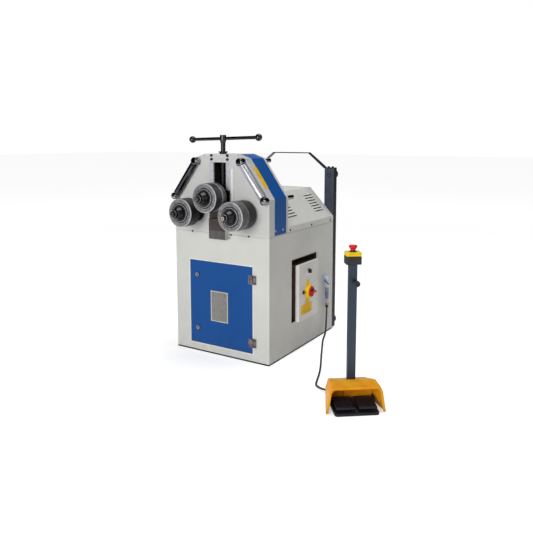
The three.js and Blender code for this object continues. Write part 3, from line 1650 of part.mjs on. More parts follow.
// Cord: it drops from the plug, crosses the floor and enters the pedal base from behind
function buildCord() {
  const rest = cordRadius + seatGap;
  const fromStation = (x, y, z) =>
    new THREE.Vector3(x, y, z).applyAxisAngle(new THREE.Vector3(0, 0, 1), stationTurn).add(station.position);
  const glandEnd = stationBaseDepth + stationGlandLength + seatGap;
  const points = [
    new THREE.Vector3(plugX, socketY, cordStartZ),
    new THREE.Vector3(plugX, socketY, cordStartZ - cordStraight),
    ...cordFloorPoints.map(([x, y, z]) => new THREE.Vector3(x, y, Math.max(z, rest))),
    fromStation(stationGlandX, guardRearDepth + cordRadius, stationGlandZ),
    fromStation(stationGlandX, glandEnd + cordStraight, stationGlandZ),
    fromStation(stationGlandX, glandEnd, stationGlandZ),
  ];
  const route = new THREE.CatmullRomCurve3(points, false, "centripetal");
  const ring = Array.from({ length: cordSides }, (_, i) => {
    const angle = ((i + 0.5) * 2 * Math.PI) / cordSides;
    return new THREE.Vector2(cordRadius * Math.cos(angle), cordRadius * Math.sin(angle));
  });
  const tube = new THREE.ExtrudeGeometry(new THREE.Shape(ring), { steps: cordSteps, extrudePath: route });
  place(machine, "pedal_cord", solid(tube), "cordRubber");
}

buildCabinet();
buildDoor();
buildVent();
buildDoorLock("door_lock_upper", lockUpperZ);
buildDoorLock("door_lock_lower", lockLowerZ);
buildHinges();
buildEnclosure();
buildLid();
buildControls();
buildHead();
buildGibs();
buildSlotCover();
buildSlide();
buildGears();
buildRolls();
buildBearings();
buildFeed();
buildGuides();
buildDrive();
buildHood();
buildPosts();
buildConnector();
buildPedalBase();
buildPedal("pedal_left", -1);
buildPedal("pedal_right", 1);
buildGuard();
buildStationPost();
buildEmergencyStop();
buildCord();

export default machine;
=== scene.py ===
# Ring roller with a foot pedal station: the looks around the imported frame.
# Metres, +Z up, the rolls and the door face -Y, the switch enclosure is on +X.
import json
import math

import bmesh
import bpy
import numpy as np
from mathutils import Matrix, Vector

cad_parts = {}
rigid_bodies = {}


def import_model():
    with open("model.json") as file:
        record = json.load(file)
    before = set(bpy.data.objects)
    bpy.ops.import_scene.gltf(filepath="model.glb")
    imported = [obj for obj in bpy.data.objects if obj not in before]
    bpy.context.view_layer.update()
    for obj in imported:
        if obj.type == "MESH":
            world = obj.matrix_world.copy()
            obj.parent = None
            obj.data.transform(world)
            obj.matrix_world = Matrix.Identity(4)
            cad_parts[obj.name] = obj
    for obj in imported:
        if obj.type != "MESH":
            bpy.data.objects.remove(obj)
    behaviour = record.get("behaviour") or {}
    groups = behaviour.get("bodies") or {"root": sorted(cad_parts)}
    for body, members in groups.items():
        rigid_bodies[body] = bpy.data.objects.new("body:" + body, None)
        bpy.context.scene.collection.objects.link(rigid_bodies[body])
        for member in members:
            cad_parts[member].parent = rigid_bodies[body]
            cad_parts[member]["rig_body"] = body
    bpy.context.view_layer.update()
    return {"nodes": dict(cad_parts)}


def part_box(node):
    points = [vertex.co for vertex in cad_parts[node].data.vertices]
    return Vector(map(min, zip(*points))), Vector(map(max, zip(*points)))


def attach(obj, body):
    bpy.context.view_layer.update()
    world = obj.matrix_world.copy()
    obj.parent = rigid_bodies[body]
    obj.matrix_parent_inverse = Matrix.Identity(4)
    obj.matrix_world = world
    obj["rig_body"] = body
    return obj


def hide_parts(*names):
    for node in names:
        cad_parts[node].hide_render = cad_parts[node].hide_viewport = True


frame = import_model()

# Camera
# It stands in front of the machine on its right, a little above the rolls, and
# looks down by about seven degrees, as the photograph does.
camera_place = (1.95825, -3.0591, 1.2285)
camera_turn = (math.radians(82.95), 0.0, math.radians(31.81))
camera_sensor = 36.0
camera_lens = 40.52
camera_shift = 0.1004

camera_data = bpy.data.cameras.new("camera")
camera_data.sensor_width = camera_sensor
camera_data.lens = camera_lens
camera_data.shift_y = -camera_shift
camera_data.clip_end = 60.0
camera = bpy.data.objects.new("camera", camera_data)
camera.location = camera_place
camera.rotation_euler = camera_turn
bpy.context.scene.collection.objects.link(camera)
bpy.context.scene.camera = camera
bpy.context.scene.view_settings.view_transform = "Standard"


# Studio: floor, room light, lamps and dark cloths
# A wide pale floor takes the shadow. A large soft lamp and a small one stand in front,
# a faint one at the right, and one hangs overhead. Dark cloths that only the mirrors
# see hang round the set, so that black gloss stays black.
white = (1.0, 1.0, 1.0, 1.0)
floor_half = 40.0
floor_colour = (0.93, 0.93, 0.93, 1.0)
floor_glow = (0.50, 0.80)
floor_glow_reach = (1.5, 7.0)
room_level = 0.165
lamps = [
    ("key_lamp", (0.3, -7.3, 2.3), (0.1, -0.3, 0.6), 4.0, 270.0),
    ("front_lamp", (-0.2, -7.0, 1.7), (0.0, -0.3, 0.9), 0.9, 34.0),
    ("side_lamp", (5.2, -0.2, 2.6), (0.2, -0.1, 0.5), 2.6, 0.5),
    ("top_lamp", (0.6, 0.4, 4.6), (0.0, 0.0, 0.0), 3.0, 118.0)
]
cloth_radius = 9.0
cloth_top = 1.22
cloth_rows = 22
cloth_columns = 72
cloth_colour = (0.012, 0.012, 0.013, 1.0)
cloth_windows = [(-1.80, 0.35, 0.03, 0.62), (1.9, 2.5, 0.15, 0.55)]


def new_material(name):
    """A material with an empty node tree and its output node."""
    material = bpy.data.materials.new(name)
    material.use_nodes = True
    material.node_tree.nodes.clear()
    output = material.node_tree.nodes.new("ShaderNodeOutputMaterial")
    return material, material.node_tree, output


def link(tree, source, target):
    tree.links.new(source, target)


def add(tree, kind, inputs, **settings):
    """A shader node with its settings, each input set to a value or joined to a socket."""
    made = tree.nodes.new("ShaderNode" + kind)
    for name, value in settings.items():
        setattr(made, name, value)
    for name, value in inputs.items():
        if isinstance(value, bpy.types.NodeSocket):
            tree.links.new(value, made.inputs[name])
        else:
            made.inputs[name].default_value = value
    return made


def mixed(tree, mask, first, second):
    """The first colour, going over to the second where the mask is one."""
    node = add(tree, "Mix", {"Factor": mask, "A": first, "B": second}, data_type="RGBA")
    return node.outputs["Result"]


def between(tree, value, low, high, start=0.0, stop=1.0):
    """A value from start to stop carried to the span from low to high, and held there."""
    span = {"Value": value, "From Min": start, "From Max": stop, "To Min": low, "To Max": high}
    return add(tree, "MapRange", span).outputs["Result"]


def calculated(tree, operation, first, second=0.0):
    return add(tree, "Math", {0: first, 1: second}, operation=operation).outputs[0]


def new_finish(name):
    """A new material, and the place of each point on the piece for its patterns."""
    material, tree, output = new_material(name)
    return material, tree, output, add(tree, "TexCoord", {}).outputs["Object"]


def seen(tree):
    """One where the camera, a mirror or glass sees a surface, and zero for its light."""
    path = add(tree, "LightPath", {}).outputs
    mirrored = calculated(tree, "MAXIMUM", path["Is Glossy Ray"], path["Is Transmission Ray"])
    return calculated(tree, "MAXIMUM", path["Is Camera Ray"], mirrored)


def studio_floor():
    """A square of four corners, with light of its own where it is seen, more so far away."""
    corners = floor_half * np.array([[-1, -1, 0], [1, -1, 0], [1, 1, 0], [-1, 1, 0]], float)
    mesh = bpy.data.meshes.new("studio_floor")
    mesh.from_pydata(corners.tolist(), [], [[0, 1, 2, 3]])
    floor = bpy.data.objects.new("studio_floor", mesh)
    bpy.context.scene.collection.objects.link(floor)
    material, tree, output = new_material("studio_floor")
    diffuse = add(tree, "BsdfDiffuse", {"Color": floor_colour})
    place = add(tree, "TexCoord", {}).outputs["Object"]
    away = add(tree, "VectorMath", {0: place}, operation="LENGTH").outputs["Value"]
    strength = calculated(tree, "MULTIPLY", seen(tree), between(tree, away, *floor_glow, *floor_glow_reach))
    glow = add(tree, "Emission", {"Color": white, "Strength": strength})
    both = add(tree, "AddShader", {0: diffuse.outputs[0], 1: glow.outputs[0]})
    link(tree, both.outputs[0], output.inputs["Surface"])
    mesh.materials.append(material)


def studio_room():
    """White for what the camera and mirrors see, and a plain grey light for the rest."""
    world = bpy.data.worlds.new("studio_room")
    bpy.context.scene.world = world
    world.use_nodes = True
    tree = world.node_tree
    tree.nodes.clear()
    output = tree.nodes.new("ShaderNodeOutputWorld")
    background = add(
        tree, "Background", {"Color": white, "Strength": between(tree, seen(tree), room_level, 1.0)}
    )
    link(tree, background.outputs[0], output.inputs["Surface"])


def studio_lamp(name, place, aim, size, power):
    """A square lamp at a place, turned to face another."""
    data = bpy.data.lights.new(name, "AREA")
    data.shape = "SQUARE"
    data.size = size
    data.energy = power
    lamp = bpy.data.objects.new(name, data)
    way = np.subtract(place, aim)
    lamp.location = place
    level_run = math.hypot(way[0], way[1])
    lamp.rotation_euler = (math.atan2(level_run, way[2]), 0.0, math.atan2(way[0], -way[1]))
    bpy.context.scene.collection.objects.link(lamp)


def dark_cloths():
    """A dome of points at even turns and heights, without the faces whose middle lies in one
    of the windows, each a span of turn and a span of height."""
    turn = np.linspace(-math.pi, math.pi, cloth_columns + 1)
    height = np.linspace(0.0, cloth_top, cloth_rows + 1)
    turns, heights = np.meshgrid(turn, height)
    flat = cloth_radius * np.cos(heights)
    places = np.stack([flat * np.cos(turns), flat * np.sin(turns), cloth_radius * np.sin(heights)], -1)
    row, column = np.meshgrid(np.arange(cloth_rows), np.arange(cloth_columns), indexing="ij")
    middle_turn = (turn[column] + turn[column + 1]) / 2
    middle_height = (height[row] + height[row + 1]) / 2
    hung = np.ones(row.shape, bool)
    for left, right, low, high in cloth_windows:
        inside = (middle_turn > left) & (middle_turn < right)
        inside &= (middle_height > low) & (middle_height < high)
        hung &= ~inside
    start = (row * len(turn) + column)[hung]
    faces = np.stack([start, start + len(turn), start + len(turn) + 1, start + 1], -1)
    mesh = bpy.data.meshes.new("dark_cloths")
    mesh.from_pydata(places.reshape(-1, 3).tolist(), [], faces.tolist())
    material, tree, output = new_material("dark_cloth")
    cloth = add(tree, "BsdfDiffuse", {"Color": cloth_colour})
    link(tree, cloth.outputs[0], output.inputs["Surface"])
    mesh.materials.append(material)
    cloths = bpy.data.objects.new("dark_cloths", mesh)
    bpy.context.scene.collection.objects.link(cloths)
    for kind in ("camera", "diffuse", "shadow", "transmission", "volume_scatter"):
        setattr(cloths, f"visible_{kind}", False)


studio_floor()
studio_room()
dark_cloths()
for lamp_words in lamps:
    studio_lamp(*lamp_words)


# Pedal cord
# A black rubber lead of 11 mm leaves the plug downwards, lies on the floor in one
# easy bend and goes into the pedal base from behind. Its route is the solid's.
cord_radius = 0.0055
cord_colour = (0.012, 0.012, 0.022, 1.0)
cord_bloom_colour = (0.035, 0.035, 0.038, 1.0)
cord_straight = 0.012
cord_exit = (0.3416, 0.267, 0.1737)
station_place = (0.962, -0.681)
station_turn = math.radians(37.5)
station_gland = (-0.084, 0.1943, 0.015)
cord_through_guard = (-0.084, 0.2405, 0.015)
cord_floor_points = [
    (0.342, 0.262, 0.105), (0.343, 0.256, 0.055), (0.346, 0.243, 0.022), (0.352, 0.222, 0.0095),
    (0.363, 0.186, 0.0064), (0.390, 0.118, 0.0059), (0.431, 0.028, 0.0059), (0.494, -0.109, 0.0059),
    (0.569, -0.269, 0.0059), (0.607, -0.362, 0.0059), (0.632, -0.432, 0.0059), (0.656, -0.488, 0.0063),
    (0.684, -0.510, 0.008), (0.707, -0.5225, 0.011), (0.729, -0.532, 0.014)
]


def at_station(places):
    """Places in the station's own frame, turned about Z and carried to where it stands."""
    places = np.atleast_2d(np.array(places, float))
    cosine, sine = math.cos(station_turn), math.sin(station_turn)
    x = station_place[0] + places[:, 0] * cosine - places[:, 1] * sine
    y = station_place[1] + places[:, 0] * sine + places[:, 1] * cosine
    return np.column_stack([x, y, places[:, 2]])


def cord_route():
    """The solid's route: the exit, a short straight, the floor points and the base's gland."""
    gland = np.array(station_gland)
    return np.vstack(
        [
            cord_exit, np.subtract(cord_exit, (0.0, 0.0, cord_straight)), cord_floor_points,
            at_station([cord_through_guard, gland + (0.0, cord_straight, 0.0), gland])
        ]
    )


def easy_curve(points):
    """Tangents of a centripetal curve through the points, for the stretch before and after
    each: the three chords round a stretch, each divided by the root of its own length."""
    ends = np.vstack([2 * points[0] - points[1], points, 2 * points[-1] - points[-2]])
    chord = np.diff(ends, axis=0)
    root = np.sqrt(np.linalg.norm(chord, axis=1))[:, None]
    before, along, after = root[:-2], root[1:-1], root[2:]
    low, mid, high = ends[:-3], ends[1:-2], ends[2:-1]
    far = ends[3:]
    leave = along * ((mid - low) / before - (high - low) / (before + along) + (high - mid) / along)
    arrive = along * ((high - mid) / along - (far - mid) / (along + after) + (far - high) / after)
    return leave, arrive


def noise(tree, place, scale, detail):
    """A cloudy noise read at a place."""
    return add(tree, "TexNoise", {"Vector": place, "Scale": scale, "Detail": detail}).outputs["Fac"]


def surfaced(tree, output, colour, rough, numbers, bump=()):
    """A principled surface of a colour and a roughness, with its plain numbers set on it. The
    bump is a height, its strength and its distance."""
    inputs = {"Base Color": colour, "Roughness": rough, **numbers}
    if bump:
        inputs["Normal"] = add(tree, "Bump", dict(zip(("Height", "Strength", "Distance"), bump))).outputs[0]
    shader = add(tree, "BsdfPrincipled", inputs)
    link(tree, shader.outputs[0], output.inputs["Surface"])


def cord_rubber():
    """Matt black rubber with a faint bloom."""
    material, tree, output, place = new_finish("cord_rubber")
    bloom = noise(tree, place, 60.0, 5.0)
    surfaced(
        tree, output, mixed(tree, bloom, cord_colour, cord_bloom_colour), between(tree, bloom, 0.38, 0.62),
        {}
    )
    return material


def pedal_cord(fittings):
    """One Bezier spline whose handles are a third of the curve's tangents."""
    points = cord_route()
    leave, arrive = easy_curve(points)
    right = points.copy()
    right[:-1] += leave / 3
    left = points.copy()
    left[1:] -= arrive / 3
    left[0] = 2 * points[0] - right[0]
    right[-1] = 2 * points[-1] - left[-1]
    curve = bpy.data.curves.new("cord", "CURVE")
    curve.dimensions = "3D"
    curve.bevel_depth = cord_radius
    curve.bevel_resolution = 4
    curve.resolution_u = 10
    curve.use_fill_caps = True
    spline = curve.splines.new("BEZIER")
    spline.bezier_points.add(len(points) - 1)
    for name in ("handle_left_type", "handle_right_type"):
        for point in spline.bezier_points:
            setattr(point, name, "FREE")
    spline.bezier_points.foreach_set("co", points.ravel())
    spline.bezier_points.foreach_set("handle_left", left.ravel())
    spline.bezier_points.foreach_set("handle_right", right.ravel())
    curve.materials.append(cord_rubber())
    cord = bpy.data.objects.new("cord", curve)
    bpy.context.scene.collection.objects.link(cord)
    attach(cord, "machine")
    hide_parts("pedal_cord")


# Cabinet
# A box of folded 3 mm sheet on a near-black base plate, also painted shade for the dark
# band along the floor, closed by a thick deck, with light grey powder coat. A pale strip
# round the doorway is a painted highlight of the doorway's edge.
cabinet_colour = (216, 216, 211)
# The lighter grey is painted along the cabinet's edges as a highlight.
cabinet_highlight_colour = (228, 228, 225)
cabinet_fold = 0.0022
# The base plate is near-black steel, darkened also as painted shade for the contact band along the floor.
base_shade_colour = (16, 16, 17)
base_edge = 0.001
doorway_rim_width = 0.0052
doorway_rim_proud = 0.0016
doorway_highlight_colour = (246, 245, 236)
door_clearance = 0.002
grime_height = 0.16
grime_colour = (112, 106, 96)
darker_share = 0.955


def shade(red, green, blue):
    """A colour as a screen shows it, as linear light: each part to the power of 2.4, with the
    usual offset."""
    part = np.array([red, green, blue], float) / 255
    light = np.where(part <= 0.04045, part / 12.92, ((part + 0.055) / 1.055) ** 2.4)
    return (*light.tolist(), 1.0)


def effect(name, inputs, outputs):
    """An empty node group with its named inputs and outputs."""
    group = bpy.data.node_groups.new(name, "ShaderNodeTree")
    for socket, kind in inputs.items():
        group.interface.new_socket(socket, in_out="INPUT", socket_type="NodeSocket" + kind)
    for socket, kind in outputs.items():
        group.interface.new_socket(socket, in_out="OUTPUT", socket_type="NodeSocket" + kind)
    return group, group.nodes.new("NodeGroupInput").outputs, group.nodes.new("NodeGroupOutput").inputs


def powder_coat_effect():
    """Orange peel with fine specks as a height, and broad clouds as a tone."""
    group, given, out = effect("powder coat", {"Place": "Vector"}, {"Tone": "Float", "Height": "Float"})
    speckled_peel = calculated(
        group, "MULTIPLY", noise(group, given["Place"], 380.0, 2.0),
        noise(group, given["Place"], 1400.0, 1.0)
    )
    link(group, speckled_peel, out["Height"])
    link(group, noise(group, given["Place"], 4.0, 5.0), out["Tone"])
    return group


def edge_highlight_effect():
    """The middle one of the distances to the box's three pairs of faces is small only near an
    edge; a noise breaks it up. It masks a lighter colour painted on the edges as a highlight."""
    sockets = {"Place": "Vector", "Low": "Vector", "High": "Vector", "Width": "Float"}
    group, given, out = effect("edge highlight", sockets, {"Mask": "Float"})
    sides = []
    for corner in ("Low", "High"):
        away = add(group, "VectorMath", {0: given["Place"], 1: given[corner]}, operation="SUBTRACT")
        sides.append(add(group, "VectorMath", {0: away.outputs[0]}, operation="ABSOLUTE").outputs[0])
    near = add(group, "VectorMath", {0: sides[0], 1: sides[1]}, operation="MINIMUM")
    part = add(group, "SeparateXYZ", {"Vector": near.outputs[0]}).outputs
    low = calculated(group, "MINIMUM", part[0], part[1])
    high = calculated(group, "MAXIMUM", part[0], part[1])
    middle = calculated(group, "MAXIMUM", low, calculated(group, "MINIMUM", high, part[2]))
    share = calculated(group, "DIVIDE", middle, given["Width"])
    broken = noise(group, given["Place"], 90.0, 6.0)
    ragged = calculated(group, "ADD", share, between(group, broken, -0.6, 0.9))
    link(group, between(group, ragged, 1.0, 0.0, 0.3, 1.0), out["Mask"])
    return group


def grime_effect():
    """Dust and scuffs that gather below a height, in blotches."""
    group, given, out = effect("grime", {"Place": "Vector", "Height": "Float"}, {"Mask": "Float"})
    part = add(group, "SeparateXYZ", {"Vector": given["Place"]}).outputs
    share = calculated(group, "DIVIDE", part[2], given["Height"])
    low = between(group, share, 1.0, 0.0)
    patchy = between(group, noise(group, given["Place"], 23.0, 7.0), 0.0, 1.0, 0.35, 0.75)
    link(group, calculated(group, "MULTIPLY", low, patchy), out["Mask"])
    return group


powder_coat = powder_coat_effect()
edge_highlight = edge_highlight_effect()
grime = grime_effect()


def coated_steel(name, colour, highlight_colour, corners, gloss=(0.42, 0.56), edge=0.004, peel=0.05, shine=0.35):
    """Powder-coated sheet: broad tone, orange peel, a lighter colour painted along the edges as a highlight,
    and grime near the floor.
    """
    material, tree, output, place = new_finish(name)
    coat = add(tree, "Group", {"Place": place}, node_tree=powder_coat).outputs
    edges = {"Place": place, "Low": corners[0], "High": corners[1], "Width": edge}
    highlight_mask = add(tree, "Group", edges, node_tree=edge_highlight).outputs["Mask"]
    dirt = add(tree, "Group", {"Place": place, "Height": grime_height}, node_tree=grime).outputs["Mask"]
    darker = shade(*(part * darker_share for part in colour))
    body = mixed(tree, between(tree, coat["Tone"], 0.0, 1.0, 0.35, 0.7), shade(*colour), darker)
    highlighted = mixed(tree, calculated(tree, "MULTIPLY", highlight_mask, 0.8), body, shade(*highlight_colour))
    soiled = mixed(tree, calculated(tree, "MULTIPLY", dirt, 0.16), highlighted, shade(*grime_colour))
    rough = between(tree, coat["Tone"], *gloss, 0.3, 0.7)
    surfaced(tree, output, soiled, rough, {"Specular IOR Level": shine}, (coat["Height"], peel, 0.001))
    return material


def grid_faces(rows, columns, close_rows=False, close_columns=True):
    """Faces of a grid of points, as an array of four corners each. A closed way joins its end
    to its start."""
    row = np.arange(rows if close_rows else rows - 1)[:, None]
    column = np.arange(columns if close_columns else columns - 1)[None, :]
    next_row, next_column = (row + 1) % rows, (column + 1) % columns
    corners = [
        row * columns + column, row * columns + next_column, next_row * columns + next_column,
        next_row * columns + column
    ]
    return np.stack([np.broadcast_to(c, (row.size, column.size)) for c in corners], -1).reshape(-1, 4)


def joined(*parts):
    """Several surfaces, each with its points and faces, as one."""
    places, faces, start = [], [], 0
    for part_places, part_faces in parts:
        places.append(part_places.reshape(-1, 3))
        faces.append(np.asarray(part_faces) + start)
        start += len(places[-1])
    return np.vstack(places), np.vstack(faces)


def piece(name, surface, material, body, slot, *nodes, crease=35.0):
    """A surface as an object that rides on a body. Points that meet are merged, faces are
    turned outwards, and edges sharper than the crease stay sharp."""
    places, faces = surface
    mesh = bpy.data.meshes.new(name)
    mesh.from_pydata(places.reshape(-1, 3).tolist(), [], np.asarray(faces).tolist())
    work = bmesh.new()
    work.from_mesh(mesh)
    bmesh.ops.remove_doubles(work, verts=work.verts, dist=0.000004)
    bmesh.ops.dissolve_degenerate(work, edges=work.edges, dist=0.000002)
    bmesh.ops.recalc_face_normals(work, faces=work.faces)
    work.to_mesh(mesh)
    work.free()
    return finished(name, mesh, material, body, nodes, crease)


def finished(name, mesh, material, body, nodes, crease):
    """The mesh as a smooth-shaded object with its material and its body."""
    mesh.polygons.foreach_set("use_smooth", np.ones(len(mesh.polygons), bool))
    mesh.set_sharp_from_angle(angle=math.radians(crease))
    mesh.materials.append(material)
    made = bpy.data.objects.new(name, mesh)
    bpy.context.scene.collection.objects.link(made)
    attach(made, body)
    if nodes:
        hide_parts(*nodes)
    return made


def softened(name, node, width, material, steps=2, flat=1.0):
    """A merged copy of a solid, with coplanar triangles made whole faces and the edges
    rounded to a width."""
    solid = frame["nodes"][node]
    mesh = solid.data.copy()
    mesh.materials.clear()
    work = bmesh.new()
    work.from_mesh(mesh)
    bmesh.ops.remove_doubles(work, verts=work.verts, dist=0.00002)
    bmesh.ops.dissolve_limit(
        work, angle_limit=math.radians(flat), verts=work.verts, edges=work.edges, delimit={"NORMAL"}
    )
    work.to_mesh(mesh)
    work.free()
    return bevelled(finished(name, mesh, material, solid["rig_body"], [node], 30.0), width, steps)


def bevelled(made, width, steps, hard=True):
    """An object whose sharp edges are rounded to a width by a modifier."""
    rounding = made.modifiers.new("rounding", "BEVEL")
    rounding.width = width
    rounding.segments = steps
    rounding.harden_normals = hard
    return made


def node_box(node):
    low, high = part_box(node)
    return tuple(low), tuple(high)


def mitred(across, up, profile, face, axis):
    """A profile of offset and height carried round a rectangle. Each corner moves out along
    both its sides by the offset, so the corners are mitred."""
    corner = np.array([[across[0], up[0]], [across[1], up[0]], [across[1], up[1]], [across[0], up[1]]])
    way = np.array([[-1, -1], [1, -1], [1, 1], [-1, 1]], float)
    profile = np.asarray(profile, float)
    flat = corner[:, None, :] + way[:, None, :] * profile[None, :, :1]
    height = face + np.broadcast_to(profile[None, :, 1:], flat[..., :1].shape)
    if axis == "y":
        places = np.concatenate([flat[..., :1], height, flat[..., 1:]], -1)
    else:
        places = np.concatenate([height, flat], -1)
    return places, grid_faces(4, len(profile), True, True)


def plain_finish(name, colour, second, gloss, scale=40.0, metal=0.0, shine=0.5, bump_height=0.03, coat=0.0):
    """A moulded or blackened finish: two near tones in clouds, an uneven gloss and fine grain."""
    material, tree, output, place = new_finish(name)
    cloud = noise(tree, place, scale, 6.0)
    colour_socket = mixed(tree, between(tree, cloud, 0.0, 1.0, 0.35, 0.68), shade(*colour), shade(*second))
    numbers = {"Metallic": metal, "Specular IOR Level": shine, "Coat Weight": coat}
    bump = (noise(tree, place, 900.0, 3.0), bump_height, 0.0006)
    surfaced(tree, output, colour_socket, between(tree, cloud, *gloss, 0.3, 0.7), numbers, bump)
    return material


cabinet_low, cabinet_high = node_box("cabinet_wrap")
deck_top = node_box("top_deck")[1][2]
front_face = cabinet_low[1]
right_face = cabinet_high[0]
cabinet_corners = ((cabinet_low[0], cabinet_low[1], 0.0), (cabinet_high[0], cabinet_high[1], deck_top))
cabinet_paint = coated_steel("cabinet_paint", cabinet_colour, cabinet_highlight_colour, cabinet_corners)
softened("cabinet", "cabinet_wrap", cabinet_fold, cabinet_paint)
softened("deck", "top_deck", cabinet_fold, cabinet_paint)
base_steel_and_shade = plain_finish("base_steel_and_shade", base_shade_colour, (30, 29, 28), (0.5, 0.75), shine=0.2)
softened("base", "base_plate", base_edge, base_steel_and_shade)

door_low, door_high = node_box("door_panel")
doorway_x = (door_low[0] - door_clearance, door_high[0] + door_clearance)
doorway_z = (door_low[2] - door_clearance, door_high[2] + door_clearance)
rim_half = doorway_rim_width / 2
doorway_rim_profile = [
    (0.0, 0.0002), (0.0, -doorway_rim_proud * 0.6), (rim_half * 0.5, -doorway_rim_proud),
    (rim_half * 1.5, -doorway_rim_proud), (doorway_rim_width, -doorway_rim_proud * 0.6),
    (doorway_rim_width, 0.0002)
]
# Pale colour on the doorway strip: a painted highlight of the doorway's edge.
doorway_highlight = plain_finish("doorway_highlight", doorway_highlight_colour, (232, 230, 218), (0.45, 0.6))
piece(
    "doorway_rim", mitred(doorway_x, doorway_z, doorway_rim_profile, front_face, "y"), doorway_highlight,
    "machine", "grey_paint"
)


# Door
# One blue powder-coated sheet with its edges folded in, hung in the doorway of
# the front wall. Only a thin dark gap shows round it.
door_colour = (6, 76, 148)
# The lighter blue is painted along the door's edges as a highlight.
door_highlight_colour = (52, 108, 172)
door_fold = 0.0018

door_paint = coated_steel(
    "door_paint", door_colour, door_highlight_colour, (door_low, door_high), gloss=(0.38, 0.5), shine=0.2
)
softened("door", "door_panel", door_fold, door_paint)


# Vent grille
# A woven wire mesh in a folded zinc frame, riveted on the door. The wires go
# over and under each other, so each one is a wave.
vent_frame_width = 0.0065
vent_wires = (17, 26)
vent_wire_radius = 0.0011
vent_wave = 0.0009
vent_mesh_colour = (206, 205, 202)
vent_frame_colour = (196, 186, 174)


def woven_wires(count, other, start, stop, low, high, level, upright):
    """Straight wires whose height is a sine with one half wave for each crossing wire; next
    wires are half a wave apart. The tube round each is a circle across its way."""
    steps = other * 4 + 1
    along = np.linspace(low, high, steps)[None, :, None]
    side = np.linspace(start, stop, count)[:, None, None]
    phase = math.pi * np.arange(count)[:, None, None]
    wave = vent_wave * np.sin((along - low) / (high - low) * math.pi * other + phase)
    turn = np.linspace(0, 2 * math.pi, 6, endpoint=False)[None, None, :]
    out = level + wave + vent_wire_radius * np.sin(turn)
    across = side + vent_wire_radius * np.cos(turn)
    along = np.broadcast_to(along, out.shape)
    across = np.broadcast_to(across, out.shape)
    places = np.stack([across, out, along] if upright else [along, out, across], -1)
    return repeated(places, steps, 6)


def repeated(grids, rows, columns):
    """Equal grids of points as one surface."""
    offsets = (np.arange(len(grids)) * rows * columns)[:, None, None]
    return grids.reshape(-1, 3), (grid_faces(rows, columns)[None] + offsets).reshape(-1, 4)


def vent_grille():
    low, high = node_box("vent_grille")
    inner_x = (low[0] + vent_frame_width, high[0] - vent_frame_width)
    inner_z = (low[2] + vent_frame_width, high[2] - vent_frame_width)
    back, front = high[1], low[1]
    level = (front + back) / 2 + 0.0004
    mesh = joined(
        woven_wires(vent_wires[0], vent_wires[1], *inner_x, *inner_z, level, True),
        woven_wires(vent_wires[1], vent_wires[0], *inner_z, *inner_x, level, False)
    )
    zinc_wire = plain_finish("zinc_wire", vent_mesh_colour, (140, 139, 136), (0.3, 0.5), 200.0, 0.55)
    piece("vent_mesh", mesh, zinc_wire, "door", "zinc_sheet", "vent_grille", crease=60.0)
    depth = back - front
    section = [
        (0.0, depth), (0.0, 0.0006), (0.0008, 0.0), (vent_frame_width - 0.0012, 0.0),
        (vent_frame_width, 0.0012), (vent_frame_width, depth)
    ]
    zinc_frame = plain_finish("zinc_frame", vent_frame_colour, (188, 184, 172), (0.35, 0.5), 60.0, 0.3)
    piece("vent_frame", mitred(inner_x, inner_z, section, front, "y"), zinc_frame, "door", "zinc_sheet")


vent_grille()


# Door locks
# Two quarter-turn locks: a zinc head with a slotted core turned in it, sitting
# on a black washer, with a flat steel cam behind the door.
lock_head_bend = 0.0011
lock_slot_edge = 0.0005
lock_washer_bend = 0.0006
lock_head_radius = 0.012
lock_core_radius = 0.0065
lock_proud = 0.006
lock_core_sink = 0.002
lock_washer_lip = 0.002
lock_washer_height = 0.0016
lock_slot_half = (0.0056, 0.0014)
lock_colour = (168, 168, 172)
lock_washer_colour = (20, 20, 22)


def rounded(profile, radius, steps=3):
    """A profile with each corner replaced by a short curve: a parabola whose ends lie on the
    two sides, at the radius or at 0.4 of the shorter side from the corner."""
    profile = np.asarray(profile, float)
    before, corner, after = profile[:-2], profile[1:-1], profile[2:]
    into, away = before - corner, after - corner
    length_in = np.linalg.norm(into, axis=1, keepdims=True)
    length_away = np.linalg.norm(away, axis=1, keepdims=True)
    reach = np.minimum(radius, 0.4 * np.minimum(length_in, length_away))
    first = corner + into / length_in * reach
    last = corner + away / length_away * reach
    t = np.linspace(0.0, 1.0, steps + 1)[None, :, None]
    bend = (1 - t) ** 2 * first[:, None] + 2 * t * (1 - t) * corner[:, None] + t**2 * last[:, None]
    return np.vstack([profile[:1], bend.reshape(-1, 2), profile[-1:]])


def square_axes(axis):
    """A unit vector along an axis, and two more square to it and to each other."""
    way = np.array(axis, float) / np.linalg.norm(axis)
    helper = np.array([0.0, 0.0, 1.0]) if abs(way[2]) < 0.9 else np.array([1.0, 0.0, 0.0])
    first = np.cross(helper, way)
    first /= np.linalg.norm(first)
    return way, first, np.cross(way, first)


def turned(profile, centre, axis=(0.0, 1.0, 0.0), sides=72, closed=False):
    """A profile of radius and place along the axis, turned round it: centre plus the axis
    times the place, plus the radius times a circle square to the axis."""
    profile = np.asarray(profile, float)
    way, first, second = square_axes(axis)
    angle = np.linspace(0, 2 * math.pi, sides, endpoint=False)[None, :, None]
    circle = np.cos(angle) * first + np.sin(angle) * second
    places = np.array(centre) + profile[:, 1, None, None] * way + profile[:, 0, None, None] * circle
    return places, grid_faces(len(profile), sides, closed, True)


def turned_piece(name, profile, corner, centre, material, body, slot, *nodes, steps=3, **shape):
    """A turned piece whose profile has its corners rounded to a radius."""
    surface = turned(rounded(profile, corner, steps), centre, **shape)
    return piece(name, surface, material, body, slot, *nodes)


